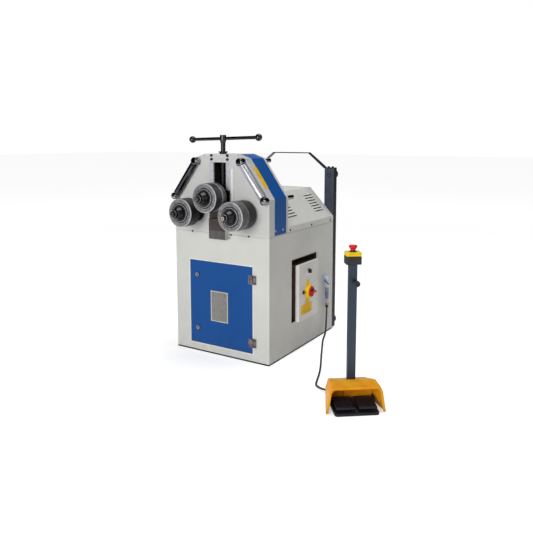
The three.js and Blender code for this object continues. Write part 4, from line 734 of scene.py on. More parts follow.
def slab(low, high):
    """A block between two corners, as its eight corners and six faces."""
    low, high = np.array(low, float), np.array(high, float)
    pick = np.array([[0, 0, 0], [1, 0, 0], [1, 1, 0], [0, 1, 0], [0, 0, 1], [1, 0, 1], [1, 1, 1], [0, 1, 1]])
    faces = [[0, 3, 2, 1], [4, 5, 6, 7], [0, 1, 5, 4], [1, 2, 6, 5], [2, 3, 7, 6], [3, 0, 4, 7]]
    return low + pick * (high - low), np.array(faces)


def rounded_slab(name, low, high, width, material, body, slot, *nodes, steps=3):
    """A block whose edges are rounded to a width."""
    return bevelled(piece(name, slab(low, high), material, body, slot, *nodes), width, steps)


lock_metal = plain_finish("lock_metal", lock_colour, (128, 128, 132), (0.22, 0.36), 120.0, 0.8)
lock_black = plain_finish("lock_black", lock_washer_colour, (34, 34, 36), (0.3, 0.45), 90.0, 0.0, 0.3)


def door_lock(level, low, high):
    """Head, washer and core of one lock; the solid behind keeps the cam."""
    x = (low[0] + high[0]) / 2
    z = high[2] - lock_head_radius
    centre = (x, front_face, z)
    washer = [
        (0.0, -0.0002), (lock_head_radius + lock_washer_lip, -0.0002),
        (lock_head_radius + lock_washer_lip, -lock_washer_height), (0.0, -lock_washer_height)
    ]
    turned_piece(f"lock_washer_{level}", washer, lock_washer_bend, centre, lock_black, "door", "black_steel")
    core_depth = -lock_proud + lock_core_sink
    head = [
        (0.0, core_depth), (lock_core_radius, core_depth), (lock_core_radius, -lock_proud - 0.0004),
        (lock_head_radius, -lock_proud - 0.0004), (lock_head_radius + 0.0003, -0.0014), (0.0, -0.0014)
    ]
    body = f"door_lock_{level}"
    turned_piece(f"lock_head_{level}", head, lock_head_bend, centre, lock_metal, body, "black_steel")
    slot_low = (x - lock_slot_half[0], front_face - lock_proud - 0.0002, z - lock_slot_half[1])
    slot_high = (x + lock_slot_half[0], front_face + core_depth + 0.0001, z + lock_slot_half[1])
    rounded_slab(f"lock_slot_{level}", slot_low, slot_high, lock_slot_edge, lock_metal, body, "black_steel")


for lock_level in ("upper", "lower"):
    door_lock(lock_level, *node_box(f"door_lock_{lock_level}"))
    frame["nodes"][f"door_lock_{lock_level}"].data.materials.clear()
    frame["nodes"][f"door_lock_{lock_level}"].data.materials.append(lock_black)


# Door hinges
# Two chromed butt hinges screwed on the front with countersunk screws, a leaf on
# the door and a leaf on the frame. The knuckles turn on the frame leaf's pin.
hinge_screw_radius = 0.0034
hinge_screw_rows = (-0.016, 0.016)
hinge_screw_height = 0.0006
hinge_screw_inset = 0.0075
hinge_screw_out = 0.0053
hinge_edge = 0.0007


def bright_metal(name, colour, second, gloss, centre=None, axis=(0.0, 1.0, 0.0), scale=420.0, grain=0.12):
    """Bare metal with the fine rings that a lathe or a grinder leaves. The rings are a noise
    that reads only the distance from the axis and the place along it."""
    material, tree, output, place = new_finish(name)
    if centre is None:
        marks = add(tree, "Mapping", {"Vector": place, "Scale": (1.0, 1.0, 14.0)}).outputs[0]
        tone_value = height = noise(tree, marks, scale / 3, 4.0)
    else:
        turn = Vector(axis).rotation_difference(Vector((0.0, 0.0, 1.0))).to_euler()
        shift = -(turn.to_matrix() @ Vector(centre))
        local = add(tree, "Mapping", {"Vector": place, "Location": shift, "Rotation": turn}).outputs[0]
        marks = add(tree, "Group", {"Place": local, "Scale": scale}, node_tree=turned_marks).outputs
        tone_value, height = marks["Tone"], marks["Height"]
    stain = noise(tree, place, 28.0, 6.0)
    both = calculated(tree, "MULTIPLY", tone_value, stain)
    colour_socket = mixed(tree, between(tree, both, 0.0, 1.0, 0.12, 0.42), shade(*second), shade(*colour))
    rough = between(tree, stain, *gloss, 0.3, 0.7)
    surfaced(tree, output, colour_socket, rough, {"Metallic": 1.0}, (height, grain, 0.0004))
    return material


def turned_marks_effect():
    """Rings round the local Z axis: a noise of the radius and the height alone."""
    sockets = {"Place": "Vector", "Scale": "Float"}
    group, given, out = effect("turned marks", sockets, {"Tone": "Float", "Height": "Float"})
    part = add(group, "SeparateXYZ", {"Vector": given["Place"]}).outputs
    flat = add(group, "CombineXYZ", {"X": part[0], "Y": part[1]}).outputs[0]
    radius = add(group, "VectorMath", {0: flat}, operation="LENGTH").outputs["Value"]
    plane = add(group, "CombineXYZ", {"X": radius, "Y": part[2]}).outputs[0]
    rings = noise(group, plane, given["Scale"], 5.0)
    link(group, calculated(group, "MULTIPLY", rings, noise(group, plane, 60.0, 3.0)), out["Height"])
    link(group, between(group, rings, 0.25, 1.0, 0.3, 0.7), out["Tone"])
    return group


turned_marks = turned_marks_effect()
chrome = bright_metal("chrome", (150, 144, 148), (44, 40, 44), (0.14, 0.3), scale=150.0)
screw_black = plain_finish("screw_black", (24, 24, 26), (44, 44, 46), (0.28, 0.42), 300.0, 0.5, 0.4)
screw_zinc = plain_finish("screw_zinc", (190, 190, 192), (150, 150, 152), (0.2, 0.35), 300.0, 0.9)


def socket_screws(name, places, way, radius, height, material, body, slot, recess=0.52):
    """Cap screws in one surface. Each is a turned head of twelve sides; in its middle the ring's
    radius follows a hexagon, the flat's distance over the cosine of the angle from it."""
    way, first, second = square_axes(way)
    angle = np.linspace(0, 2 * math.pi, 12, endpoint=False)
    hexagon = 1 / np.cos((angle + math.pi / 6) % (math.pi / 3) - math.pi / 6)
    even = np.ones(12)
    rings = [
        (radius, 0.0, even), (radius, height * 0.8, even), (radius * 0.88, height, even),
        (radius * recess, height, hexagon), (radius * recess * 0.96, height * 0.35, hexagon),
        (0.0, height * 0.3, even)
    ]
    circle = np.cos(angle)[:, None] * first + np.sin(angle)[:, None] * second
    head = np.stack([up * way + reach * shape[:, None] * circle for reach, up, shape in rings])
    places = np.atleast_2d(np.array(places, float))
    heads = places[:, None, None, :] + head[None]
    return piece(name, repeated(heads, len(rings), 12), material, body, slot)


for hinge_level in ("upper", "lower"):
    for leaf_name, leaf_body, leaf_side in (("door_hinge", "door", -1), ("hinge_leaf", "machine", 1)):
        leaf_node = f"{leaf_name}_{hinge_level}"
        softened(leaf_node + "_look", leaf_node, hinge_edge, chrome)
        leaf_low, leaf_high = node_box(leaf_node)
        leaf_edge = leaf_low[0] if leaf_side < 0 else leaf_high[0]
        leaf_middle = (leaf_low[2] + leaf_high[2]) / 2
        screw_x = leaf_edge - leaf_side * hinge_screw_inset
        screw_y = front_face - hinge_screw_out
        socket_screws(
            f"{leaf_node}_screws", [(screw_x, screw_y, leaf_middle + row) for row in hinge_screw_rows],
            (0, -1, 0), hinge_screw_radius, hinge_screw_height, screw_black, leaf_body, "black_steel"
        )


# Switch enclosure
# A lipped brown sheet-steel box standing in the side opening, with a tray-shaped
# lid on two pin hinges at its rear edge. A white strip on the lid's front edge is a painted highlight of
# that lit side.
lid_strip_edge = 0.0003
enclosure_colour = (112, 84, 72)
lid_colour = (226, 225, 220)
# The lighter grey is painted along the lid's edges as a highlight.
lid_highlight_colour = (246, 246, 243)
opening_shade_colour = (44, 30, 24)
lid_out = 0.0283
box_edge = 0.0006
lid_edge = 0.0016
opening_y = (-0.145, 0.154)
opening_z = (0.179, 0.544)

lid_low, lid_high = node_box("enclosure_lid")
lid_face = right_face + lid_out
box_low, box_high = node_box("enclosure_box")
enclosure_paint = coated_steel(
    "enclosure_paint", enclosure_colour, (130, 104, 92), (box_low, box_high), shine=0.2
)
lid_paint = coated_steel(
    "lid_paint", lid_colour, lid_highlight_colour, (lid_low, (lid_face, lid_high[1], lid_high[2]))
)
softened("switch_box", "enclosure_box", box_edge, enclosure_paint)
softened("switch_box_lid", "enclosure_lid", lid_edge, lid_paint)
# Near-white strip on the lid's front edge: a painted highlight.
lid_edge_highlight = plain_finish(
    "lid_edge_highlight", (253, 253, 250), (246, 246, 243), (0.4, 0.55), 30.0, shine=0.3
)
rounded_slab(
    "lid_edge_highlight_strip", (lid_low[0] + 0.001, lid_low[1] - 0.0005, lid_low[2] + 0.0015),
    (lid_face - 0.0008, lid_low[1] + 0.0002, lid_high[2] - 0.0015), lid_strip_edge, lid_edge_highlight,
    "enclosure_lid", "grey_paint"
)

# Dark strip round the side opening, coloured as the shade inside it: painted shade.
opening_shade_strip = plain_finish("opening_shade_strip", opening_shade_colour, (60, 44, 36), (0.5, 0.7), shine=0.2)
opening_profile = [
    (-0.0028, -0.004), (-0.0028, 0.0010), (-0.0016, 0.0018), (0.0006, 0.0018), (0.0012, 0.0002),
    (0.0012, -0.0001), (-0.0001, -0.0001), (-0.0001, -0.004)
]
piece(
    "opening_edge_strip", mitred(opening_y, opening_z, opening_profile, right_face, "x"), opening_shade_strip,
    "machine", "black_plastic"
)


# Plain plates
# Thin yellow enamelled plates, quite bare, glued on the lid and on the slope of
# the head's face. Their edges are softened.
plate_thickness = 0.0009
plate_edge_share = 0.3
lid_plates = {"lid_plate": ((-0.083, 0.045), (0.211, 0.269)), "lid_tab": ((-0.030, 0.008), (0.268, 0.300))}
slope_plate = [
    (0.2015, -0.365, 1.0771), (0.2015, -0.331, 1.0771), (0.279, -0.331, 0.9665), (0.279, -0.365, 0.9665)
]
slope_plate_way = (0.214, 0.0, 0.150)
plate_yellow = plain_finish("plate_yellow", (246, 196, 8), (232, 178, 4), (0.45, 0.6), 18.0, shine=0.15)


def flat_plate(name, outline, way, material, body, thickness=plate_thickness):
    """An outline lifted by a thickness along its normal: a front, a back and a wall between."""
    outline = np.array(outline, float)
    way = np.array(way, float) / np.linalg.norm(way)
    lift = np.array([0.0001, thickness])[:, None, None] * way
    count = len(outline)
    mesh_faces = [list(range(count))[::-1], list(range(count, 2 * count))]
    mesh_faces += [[i, (i + 1) % count, count + (i + 1) % count, count + i] for i in range(count)]
    mesh = bpy.data.meshes.new(name)
    mesh.from_pydata((outline[None] + lift).reshape(-1, 3).tolist(), [], mesh_faces)
    work = bmesh.new()
    work.from_mesh(mesh)
    bmesh.ops.recalc_face_normals(work, faces=work.faces)
    work.to_mesh(mesh)
    work.free()
    made = finished(name, mesh, material, body, (), 30.0)
    return bevelled(made, thickness * plate_edge_share, 2, hard=False)


def lid_rectangle(y_span, z_span):
    return [(lid_face, y, z) for y, z in zip((*y_span, *y_span[::-1]), np.repeat(z_span, 2))]


for plate_name, plate_place in lid_plates.items():
    flat_plate(plate_name, lid_rectangle(*plate_place), (1, 0, 0), plate_yellow, "enclosure_lid")
flat_plate("slope_plate", slope_plate, slope_plate_way, plate_yellow, "machine")


# Main switch
# A yellow moulded ring with a tab above it, screwed on the lid, and in it a red
# turning knob whose grip stands across. The ring covers the solid's round base.
switch_disc_bend = 0.0016
switch_grip_bend = 0.16
switch_ring_bend = 0.0010
switch_centre = (lid_face, 0.001, 0.339)
switch_ring_radius = 0.0405
switch_ring_neck = 0.0376
switch_ring_proud = 0.0212
switch_disc_radius = 0.0305
switch_disc_thickness = 0.0066
switch_knob_radius = 0.0252
switch_shackle_y = (-0.021, -0.001)
switch_shackle_top = 0.409
switch_shackle_thickness = 0.0045
switch_grip_half = (0.0050, 0.0066)
switch_grip_drop = 0.0012
switch_grip_sink = 0.002
switch_yellow = plain_finish("switch_yellow", (252, 208, 12), (244, 194, 8), (0.4, 0.55), 30.0, shine=0.15)
switch_red = plain_finish("switch_red", (214, 18, 28), (190, 12, 22), (0.3, 0.45), 40.0, shine=0.3)

switch_ring_profile = [
    (0.0, 0.0), (switch_ring_radius, 0.0), (switch_ring_radius, 0.0060), (switch_ring_neck, 0.0088),
    (switch_ring_neck, switch_ring_proud - 0.0022), (switch_ring_neck - 0.0024, switch_ring_proud),
    (0.0, switch_ring_proud)
]
switch_shackle = slab(
    (lid_face, switch_shackle_y[0], switch_centre[2] + switch_ring_neck),
    (lid_face + switch_shackle_thickness, switch_shackle_y[1], switch_shackle_top)
)
piece(
    "switch_ring",
    joined(
        turned(rounded(switch_ring_profile, switch_ring_bend), switch_centre, (1, 0, 0)), switch_shackle
    ),
    switch_yellow, "enclosure_lid", "yellow_plastic"
)


def switch_knob():
    """A turned disc with a raised grip, whose width swells towards both ends as a cosine, and a
    near-black disc at its top on each side of the grip, painted shade for the recesses there."""
    high = node_box("main_switch")[1]
    disc_low = switch_ring_proud + 0.0003
    disc_top = disc_low + switch_disc_thickness
    disc = [(0.0, disc_low), (switch_disc_radius, disc_low), (switch_disc_radius, disc_top), (0.0, disc_top)]
    along = np.linspace(-1.0, 1.0, 25)
    slim, swell = switch_grip_half[0], switch_grip_half[1] - switch_grip_half[0]
    half_width = slim + swell * (1 - np.cos(math.pi * along)) / 2
    drop = switch_grip_drop * along**2
    section = rounded([(-1.0, 0.0), (-0.92, 1.0), (0.92, 1.0), (1.0, 0.0)], switch_grip_bend, 3)
    top = high[0] - lid_face
    y = np.broadcast_to(
        (switch_centre[1] + along * (switch_knob_radius - 0.0006))[:, None], (25, len(section))
    )
    z = switch_centre[2] + half_width[:, None] * section[None, :, 0]
    height = lid_face + disc_top - switch_grip_sink + (
        top - disc_top + switch_grip_sink - drop[:, None]
    ) * section[None, :, 1]
    grip = np.stack([height, y, z], -1)
    ends = np.stack([np.broadcast_to(grip[row].mean(0), grip[row].shape) for row in (0, -1)])
    grip = np.concatenate([ends[:1], grip, ends[1:]])
    surface = joined(
        turned(rounded(disc, switch_disc_bend), (lid_face, *switch_centre[1:]), (1, 0, 0)),
        (grip, grid_faces(27, len(section), False, True))
    )
    piece("switch_knob", surface, switch_red, "main_switch", "red_plastic", "main_switch")
    well = [
        (0.0, disc_top - 0.0004), (switch_knob_radius, disc_top - 0.0004),
        (switch_knob_radius - 0.0008, disc_top + 0.0004), (0.0, disc_top + 0.0004)
    ]
    # Near-black face beside the grip: painted shade.
    black = plain_finish("switch_well_shade", (16, 14, 15), (30, 27, 28), (0.4, 0.55), 60.0, shine=0.2)
    piece("switch_well", turned(well, switch_centre, (1, 0, 0)), black, "main_switch", "black_plastic")


switch_knob()


# Selector switch
# A black two-position selector in a chromed bezel, at the top of the lid.
bezel_bend = 0.0007
dial_bend = 0.0012
selector_grip_edge = 0.0012
selector_centre = (lid_face, 0.008, 0.460)
selector_bezel_radius = 0.0142
selector_neck_radius = 0.0124
selector_dial_radius = 0.0119
selector_dial_depth = 0.009
selector_grip_half = (0.003, 0.0118)
selector_legend = ((-0.019, 0.023), (0.431, 0.462))
selector_black = plain_finish("selector_black", (18, 18, 20), (30, 30, 32), (0.3, 0.42), 60.0, shine=0.35)

bezel_profile = [
    (selector_neck_radius, 0.0), (selector_bezel_radius, 0.0), (selector_bezel_radius, 0.0035),
    (selector_neck_radius, 0.0048), (0.0122, 0.003), (selector_neck_radius, 0.0)
]
turned_piece(
    "selector_bezel", bezel_profile, bezel_bend, selector_centre, chrome, "enclosure_lid", "chrome",
    axis=(1, 0, 0)
)
selector_low, selector_high = node_box("selector_knob")
dial_top = selector_low[0] + selector_dial_depth - lid_face
dial_profile = [
    (0.0, selector_low[0] - lid_face), (selector_dial_radius, selector_low[0] - lid_face),
    (selector_dial_radius, dial_top), (0.0, dial_top)
]
turned_piece(
    "selector_dial", dial_profile, dial_bend, selector_centre, selector_black, "selector", "black_plastic",
    "selector_knob", axis=(1, 0, 0)
)
rounded_slab(
    "selector_grip",
    (
        lid_face + dial_top - 0.002, selector_centre[1] - selector_grip_half[0],
        selector_centre[2] - selector_grip_half[1]
    ),
    (
        selector_high[0], selector_centre[1] + selector_grip_half[0],
        selector_centre[2] + selector_grip_half[1]
    ),
    selector_grip_edge, selector_black, "selector", "black_plastic"
)
legend_pale = plain_finish("legend_pale", (250, 249, 255), (240, 239, 250), (0.35, 0.5), 40.0, shine=0.2)
flat_plate("selector_plate", lid_rectangle(*selector_legend), (1, 0, 0), legend_pale, "enclosure_lid")


# Lid latch
# A black quarter-turn latch with a screwdriver slot, left of the main switch. Its
# cam, behind the lid, is the solid's.
latch_head_bend = 0.0008
latch_wing_edge = 0.0007
latch_centre = (lid_face, -0.058, 0.343)
latch_wing_half = (0.0016, 0.0088)
latch_wing_heights = (0.0050, 0.0082)
latch_profile = [(0.0, 0.0003), (0.0112, 0.0003), (0.0106, 0.0042), (0.0082, 0.0054), (0.0, 0.0054)]
turned_piece(
    "latch_head", latch_profile, latch_head_bend, latch_centre, selector_black, "lid_latch",
    "black_plastic", axis=(1, 0, 0)
)
rounded_slab(
    "latch_wing",
    (
        lid_face + latch_wing_heights[0], latch_centre[1] - latch_wing_half[0],
        latch_centre[2] - latch_wing_half[1]
    ),
    (
        lid_face + latch_wing_heights[1], latch_centre[1] + latch_wing_half[0],
        latch_centre[2] + latch_wing_half[1]
    ),
    latch_wing_edge, selector_black, "lid_latch", "black_plastic"
)
frame["nodes"]["lid_latch"].data.materials.clear()
frame["nodes"]["lid_latch"].data.materials.append(selector_black)


# Head
# A thick flame-cut front plate and a thinner rear plate, with a blue band folded
# over their edges between them. The plates are milled in the slot and the bores.
head_colour = (208, 208, 206)
head_fold = 0.0022
band_colour = (12, 84, 158)
band_edge = 0.0012
slot_shade_colour = (34, 34, 38)
head_screws = {
    "seam_screws": ((-0.196, 0.075, 0.190), (0.7035,), 0.0052, 0.0034),
    "crown_screws": ((-0.054, 0.054), (1.1165, 1.138), 0.0075, 0.007)
}
band_screw_y = (-0.327, -0.248)
band_screw_z = 0.7352
band_screw_radius = 0.0055
band_screw_height = 0.003

front_low, front_high = node_box("front_plate")
head_paint = coated_steel("head_paint", head_colour, (228, 228, 225), (front_low, front_high), edge=0.003)
band_paint = coated_steel("band_paint", band_colour, (24, 98, 170), node_box("side_band"), shine=0.2)
slot_steel_shade = plain_finish("slot_steel_shade", slot_shade_colour, (20, 20, 22), (0.35, 0.55), 80.0, 0.6)
head_plate = softened("head_plate", "front_plate", head_fold, head_paint)
softened("head_rear_plate", "rear_plate", head_fold, head_paint)
head_band = softened("head_band", "side_band", band_edge, band_paint)


def recolour_inside(made, material, half, low, high, depth):
    """Gives a second material to the faces whose middle lies behind the plate's face and within
    the outline's middle part."""
    mesh = made.data
    count = len(mesh.polygons)
    middle, normal = np.zeros(count * 3), np.zeros(count * 3)
    mesh.polygons.foreach_get("center", middle)
    mesh.polygons.foreach_get("normal", normal)
    middle, normal = middle.reshape(-1, 3), normal.reshape(-1, 3)
    inside = (np.abs(middle[:, 0]) < half) & (middle[:, 2] > low) & (middle[:, 2] < high)
    inside &= (middle[:, 1] > depth) & (normal[:, 1] > -0.5)
    mesh.materials.append(material)
    mesh.polygons.foreach_set("material_index", inside.astype(np.int32))


# The slot and bores get near-black steel: bare metal, darkened as painted shade.
recolour_inside(head_plate, slot_steel_shade, 0.070, deck_top + 0.01, 1.1005, front_face + 0.001)
recolour_inside(head_band, head_paint, 0.110, 1.12, front_high[2] + 0.01, front_face)

for screw_name, (screw_xs, screw_zs, *screw_size) in head_screws.items():
    head_places = [(x, front_face, z) for x in screw_xs for z in screw_zs]
    socket_screws(screw_name, head_places, (0, -1, 0), *screw_size, screw_black, "machine", "black_steel")
band_screw_zinc = plain_finish(
    "band_screw_zinc", (196, 208, 230), (150, 164, 190), (0.3, 0.45), 200.0, 0.3, 0.4
)
for band_side, band_sign in (("right", 1), ("left", -1)):
    band_places = [(band_sign * right_face, y, band_screw_z) for y in band_screw_y]
    socket_screws(
        f"band_screws_{band_side}", band_places, (band_sign, 0, 0), band_screw_radius, band_screw_height,
        band_screw_zinc, "machine", "bright_steel"
    )


# Ruler
# A bright strip beside the slot with a fine scale, against which the top roll is
# set. The lines are a pattern in its enamel.
ruler_edge = 0.0004
ruler_x = (0.076, 0.089)
ruler_z = (0.889, 1.066)
ruler_step = 0.005


def ruler_enamel():
    """White enamel. A line is drawn where the height, counted in steps, is near a whole number."""
    material, tree, output, place = new_finish("ruler_enamel")
    part = add(tree, "SeparateXYZ", {"Vector": place}).outputs
    steps = calculated(tree, "FRACT", calculated(tree, "DIVIDE", part[2], ruler_step))
    line = calculated(tree, "LESS_THAN", steps, 0.14)
    at_edge = calculated(tree, "GREATER_THAN", part[0], ruler_x[0] + 0.0075)
    drawn = calculated(tree, "MULTIPLY", line, at_edge)
    cloud = noise(tree, place, 45.0, 5.0)
    plain = mixed(tree, cloud, shade(250, 250, 248), shade(240, 240, 237))
    colour = mixed(tree, calculated(tree, "MULTIPLY", drawn, 0.55), plain, shade(90, 92, 96))
    surfaced(tree, output, colour, between(tree, cloud, 0.3, 0.45), {})
    return material


rounded_slab(
    "ruler", (ruler_x[0], front_face - 0.0014, ruler_z[0]), (ruler_x[1], front_face - 0.0002, ruler_z[1]),
    ruler_edge, ruler_enamel(), "machine", "bright_steel"
)


# Slot strips, slide and slot cover
# Two ground steel strips line the slot. The blackened slide between them carries the
# top shaft. A dark folded cover on a pale bracket closes the slot's foot.
strip_steel = plain_finish("strip_steel", (212, 213, 222), (190, 191, 202), (0.3, 0.42), 30.0, 0.35)
slide_steel = plain_finish("slide_steel", (40, 40, 44), (24, 24, 27), (0.3, 0.48), 70.0, 0.6)
# Above this step the cover is painted darker as the top roll's shadow.
cover_shadow_step = (0.7225, 0.7245)
bracket_x = (0.0553, 0.0568, 0.0725)
bracket_foot = 0.002
bracket_tops = (0.111, 0.036)
bracket_edge = 0.0005
bracket_out = (0.0015, 0.0022, 0.0004)
strip_edge = 0.0009
slide_edge = 0.0012
cover_edge = 0.0014
cover_screw_x = 0.0645
cover_screw_rises = (0.0095, 0.0275)
cover_screw_radius = 0.0036
cover_screw_height = 0.0024
cover_side_paint = plain_finish("cover_side_paint", (206, 205, 202), (192, 191, 188), (0.4, 0.55), 30.0)


def cover_paint_with_shadow():
    """The cover's sheet is darker above its step, a painted shadow of the top roll, with clouding over both
    tones.
    """
    material, tree, output, place = new_finish("cover_paint")
    height = add(tree, "SeparateXYZ", {"Vector": place}).outputs[2]
    cloud = noise(tree, place, 30.0, 6.0)
    tone = between(tree, cloud, 0.0, 1.0, 0.35, 0.68)
    lower = mixed(tree, tone, shade(92, 90, 91), shade(78, 77, 79))
    upper = mixed(tree, tone, shade(70, 60, 58), shade(52, 46, 46))
    colour = mixed(tree, between(tree, height, 0.0, 1.0, *cover_shadow_step), lower, upper)
    surfaced(tree, output, colour, between(tree, cloud, 0.42, 0.58, 0.3, 0.7), {"Specular IOR Level": 0.3})
    return material


cover_paint = cover_paint_with_shadow()
for strip_side in ("left", "right"):
    strip_name = f"slot_strip_{strip_side}"
    softened(strip_name, f"slide_gib_{strip_side}", strip_edge, strip_steel)
softened("slide", "roller_slide", slide_edge, slide_steel)
softened("cover", "slot_cover", cover_edge, cover_paint)
cover_low = node_box("slot_cover")[0]
for bracket_name, bracket_front, bracket_end, bracket_top in (
    ("cover_bracket", cover_low[1] + bracket_out[0], bracket_x[1], bracket_tops[0]),
    ("cover_bracket_foot", front_face - bracket_out[1], bracket_x[2], bracket_tops[1])
):
    rounded_slab(
        bracket_name, (bracket_x[0], bracket_front, cover_low[2] + bracket_foot),
        (bracket_end, front_face - bracket_out[2], cover_low[2] + bracket_top), bracket_edge,
        cover_side_paint, "machine", "grey_paint"
    )
socket_screws(
    "cover_screws",
    [(cover_screw_x, front_face - 0.0021, cover_low[2] + rise) for rise in cover_screw_rises], (0, -1, 0),
    cover_screw_radius, cover_screw_height, screw_black, "machine", "black_steel"
)


# Rolls
# Each roll is a hardened disc of two rings with a narrow groove between them, turned
# on its face and blackened on its rim. A sleeve fills the shaft behind a short one.
roll_bend = 0.0005
roll_groove_bevel = 0.0016
roll_groove_ramp = 0.0012
roll_hub_bevel = 0.003
roll_face_depth = 0.004
roll_radius = 0.079
roll_hub_radius = 0.049
roll_face_groove = 0.0065
roll_band_width = 0.011
roll_hub_proud = 0.003
roll_front_ring = 0.057
roll_groove_width = 0.004
roll_groove_depth = 0.005
roll_chamfer = 0.0028
roll_bore = 0.0254
roll_sleeve_radius = 0.042
roll_lengths = {"top": 0.100, "left": 0.082, "right": 0.134}
# Bare shares of the front ring, the groove's rear edge, the band behind it and the tail, set roll by roll:
# partly bare from use, partly painted highlight where a roll shows bright lines and grey rings.
roll_side_wear_and_highlight = {
    "top": (0.10, 1.0, 0.75, 0.28), "left": (0.04, 0.10, 0.04, 0.04), "right": (0.30, 0.90, 0.05, 0.03)
}
roll_bodies = {"top": "top_roll", "left": "left_roll", "right": "right_roll"}


def roll_metal(name, centre):
    """Blackened steel, bare and bright on faces and edges: the wear_and_highlight attribute, times
    blotches, mixes a bare turned tone over the black, and brown stains lie where it is middling.
    Where the attribute holds a roll's bright lines, the bare tone is painted highlight."""
    material, tree, output, place = new_finish(name)
    turn = (math.radians(90.0), 0.0, 0.0)
    words = {"Vector": place, "Location": (-centre[0], centre[2], 0.0), "Rotation": turn}
    local = add(tree, "Mapping", words).outputs[0]
    marks = add(tree, "Group", {"Place": local, "Scale": 700.0}, node_tree=turned_marks).outputs
    wear_and_highlight = add(tree, "Attribute", {}, attribute_name="wear_and_highlight", attribute_type="GEOMETRY").outputs["Fac"]
    words = {"Vector": place, "Scale": 85.0, "Detail": 8.0, "Roughness": 0.65}
    blotch = add(tree, "TexNoise", words).outputs
    broken = calculated(tree, "ADD", blotch["Fac"], between(tree, noise(tree, place, 420.0, 4.0), -0.1, 0.1))
    mottled = between(tree, broken, 0.35, 1.0, 0.36, 0.62)
    whole = between(tree, wear_and_highlight, 0.0, 1.0, 0.75, 1.0)
    bare = calculated(tree, "MULTIPLY", wear_and_highlight, calculated(tree, "MAXIMUM", mottled, whole))
    stained = between(tree, blotch["Color"], 0.0, 1.0, 0.4, 0.6)
    stain = mixed(tree, stained, shade(96, 82, 76), shade(150, 148, 150))
    steel = mixed(tree, marks["Tone"], stain, shade(206, 206, 210))
    black = mixed(tree, blotch["Fac"], shade(16, 15, 17), shade(38, 36, 39))
    numbers = {"Metallic": between(tree, bare, 0.0, 0.55), "Specular IOR Level": 0.2}
    rough = between(tree, mottled, 0.5, 0.34)
    surfaced(tree, output, mixed(tree, bare, black, steel), rough, numbers, (marks["Height"], 0.22, 0.0005))
    return material


def write_bright_share(made, share):
    """Writes the bare share of every point, worked out from its place, as an attribute."""
    mesh = made.data
    places = np.zeros(len(mesh.vertices) * 3)
    mesh.vertices.foreach_get("co", places)
    wear_and_highlight = mesh.attributes.new("wear_and_highlight", "FLOAT", "POINT")
    wear_and_highlight.data.foreach_set("value", share(places.reshape(-1, 3)).astype(np.float32))


def roll(side):
    """A turned disc: hub ring, face groove and flat face, a chamfered rim, a groove with
    rounded edges behind the front ring, the rear ring and, on a short roll, the sleeve."""
    low, high = node_box(f"{side}_roller")
    front, rear = low[1] + roll_hub_proud, high[1]
    disc_rear = front + roll_lengths[side]
    groove = front + roll_front_ring
    groove_end = groove + roll_groove_width
    groove_floor = roll_radius - roll_groove_depth
    face_start = roll_hub_radius + roll_face_groove
    rim_start = roll_radius - roll_chamfer - 0.0012
    centre = ((low[0] + high[0]) / 2, 0.0, (low[2] + high[2]) / 2)
    profile = [
        (roll_bore, low[1]), (roll_hub_radius - roll_hub_bevel, low[1]), (roll_hub_radius - 0.0018, low[1]),
        (roll_hub_radius, low[1]), (roll_hub_radius, front + roll_face_depth),
        (face_start, front + roll_face_depth), (face_start, front), (face_start + 0.001, front),
        (rim_start - 0.001, front), (rim_start, front), (roll_radius - roll_chamfer, front),
        (roll_radius, front + roll_chamfer), (roll_radius, front + roll_chamfer + 0.001),
        (roll_radius, front + roll_chamfer + 0.003), (roll_radius, groove - roll_groove_ramp),
        (roll_radius - roll_groove_bevel, groove), (groove_floor, groove + 0.0008),
        (groove_floor, groove_end - 0.0008), (roll_radius - roll_groove_bevel, groove_end),
        (roll_radius, groove_end + roll_groove_ramp), (roll_radius, groove_end + 0.0024),
        (roll_radius, groove_end + roll_band_width), (roll_radius, groove_end + roll_band_width + 0.001),
        (roll_radius, disc_rear - roll_chamfer), (roll_radius - roll_chamfer, disc_rear)
    ]
    if disc_rear < rear - 0.001:
        profile += [(roll_sleeve_radius, disc_rear), (roll_sleeve_radius, rear)]
    profile += [(roll_bore, rear), (roll_bore, low[1])]
    shape = rounded(profile, roll_bend, 2)
    ring_wear_and_highlight, edge_wear_and_highlight, band_wear_and_highlight, tail_wear_and_highlight = roll_side_wear_and_highlight[side]

    def bare_share(places):
        radius = np.hypot(places[:, 0] - centre[0], places[:, 2] - centre[2])
        y = places[:, 1]
        hub_edge = (y < front) & (radius > roll_hub_radius - 0.0021)
        hub = y < front - 0.001
        face = (y < front + 0.0005) & (radius > roll_hub_radius + 0.002) & (radius < rim_start - 0.0006)
        rim = (radius > rim_start - 0.0006) & (y < front + roll_chamfer + 0.0012)
        out = radius > roll_radius - 0.0020
        edge = out & (y > groove_end - 0.0004) & (y < groove_end + 0.0016)
        band = out & (y > groove_end) & (y < groove_end + roll_band_width + 0.0002)
        ring = out & (y < groove)
        tail = out & (y > groove_end)
        shares = [1.0, 0.06, 0.6, 1.0, edge_wear_and_highlight, band_wear_and_highlight, ring_wear_and_highlight, tail_wear_and_highlight]
        return np.select([hub_edge, hub, face, rim, edge, band, ring, tail], shares, 0.0)

    made = piece(
        f"{side}_roll_rings", turned(shape, centre, sides=128, closed=True),
        roll_metal(f"{side}_roll_metal", centre), roll_bodies[side], "roll_steel", f"{side}_roller",
        crease=28.0
    )
    write_bright_share(made, bare_share)
    return centre


roll_places = {side: roll(side) for side in ("left", "top", "right")}


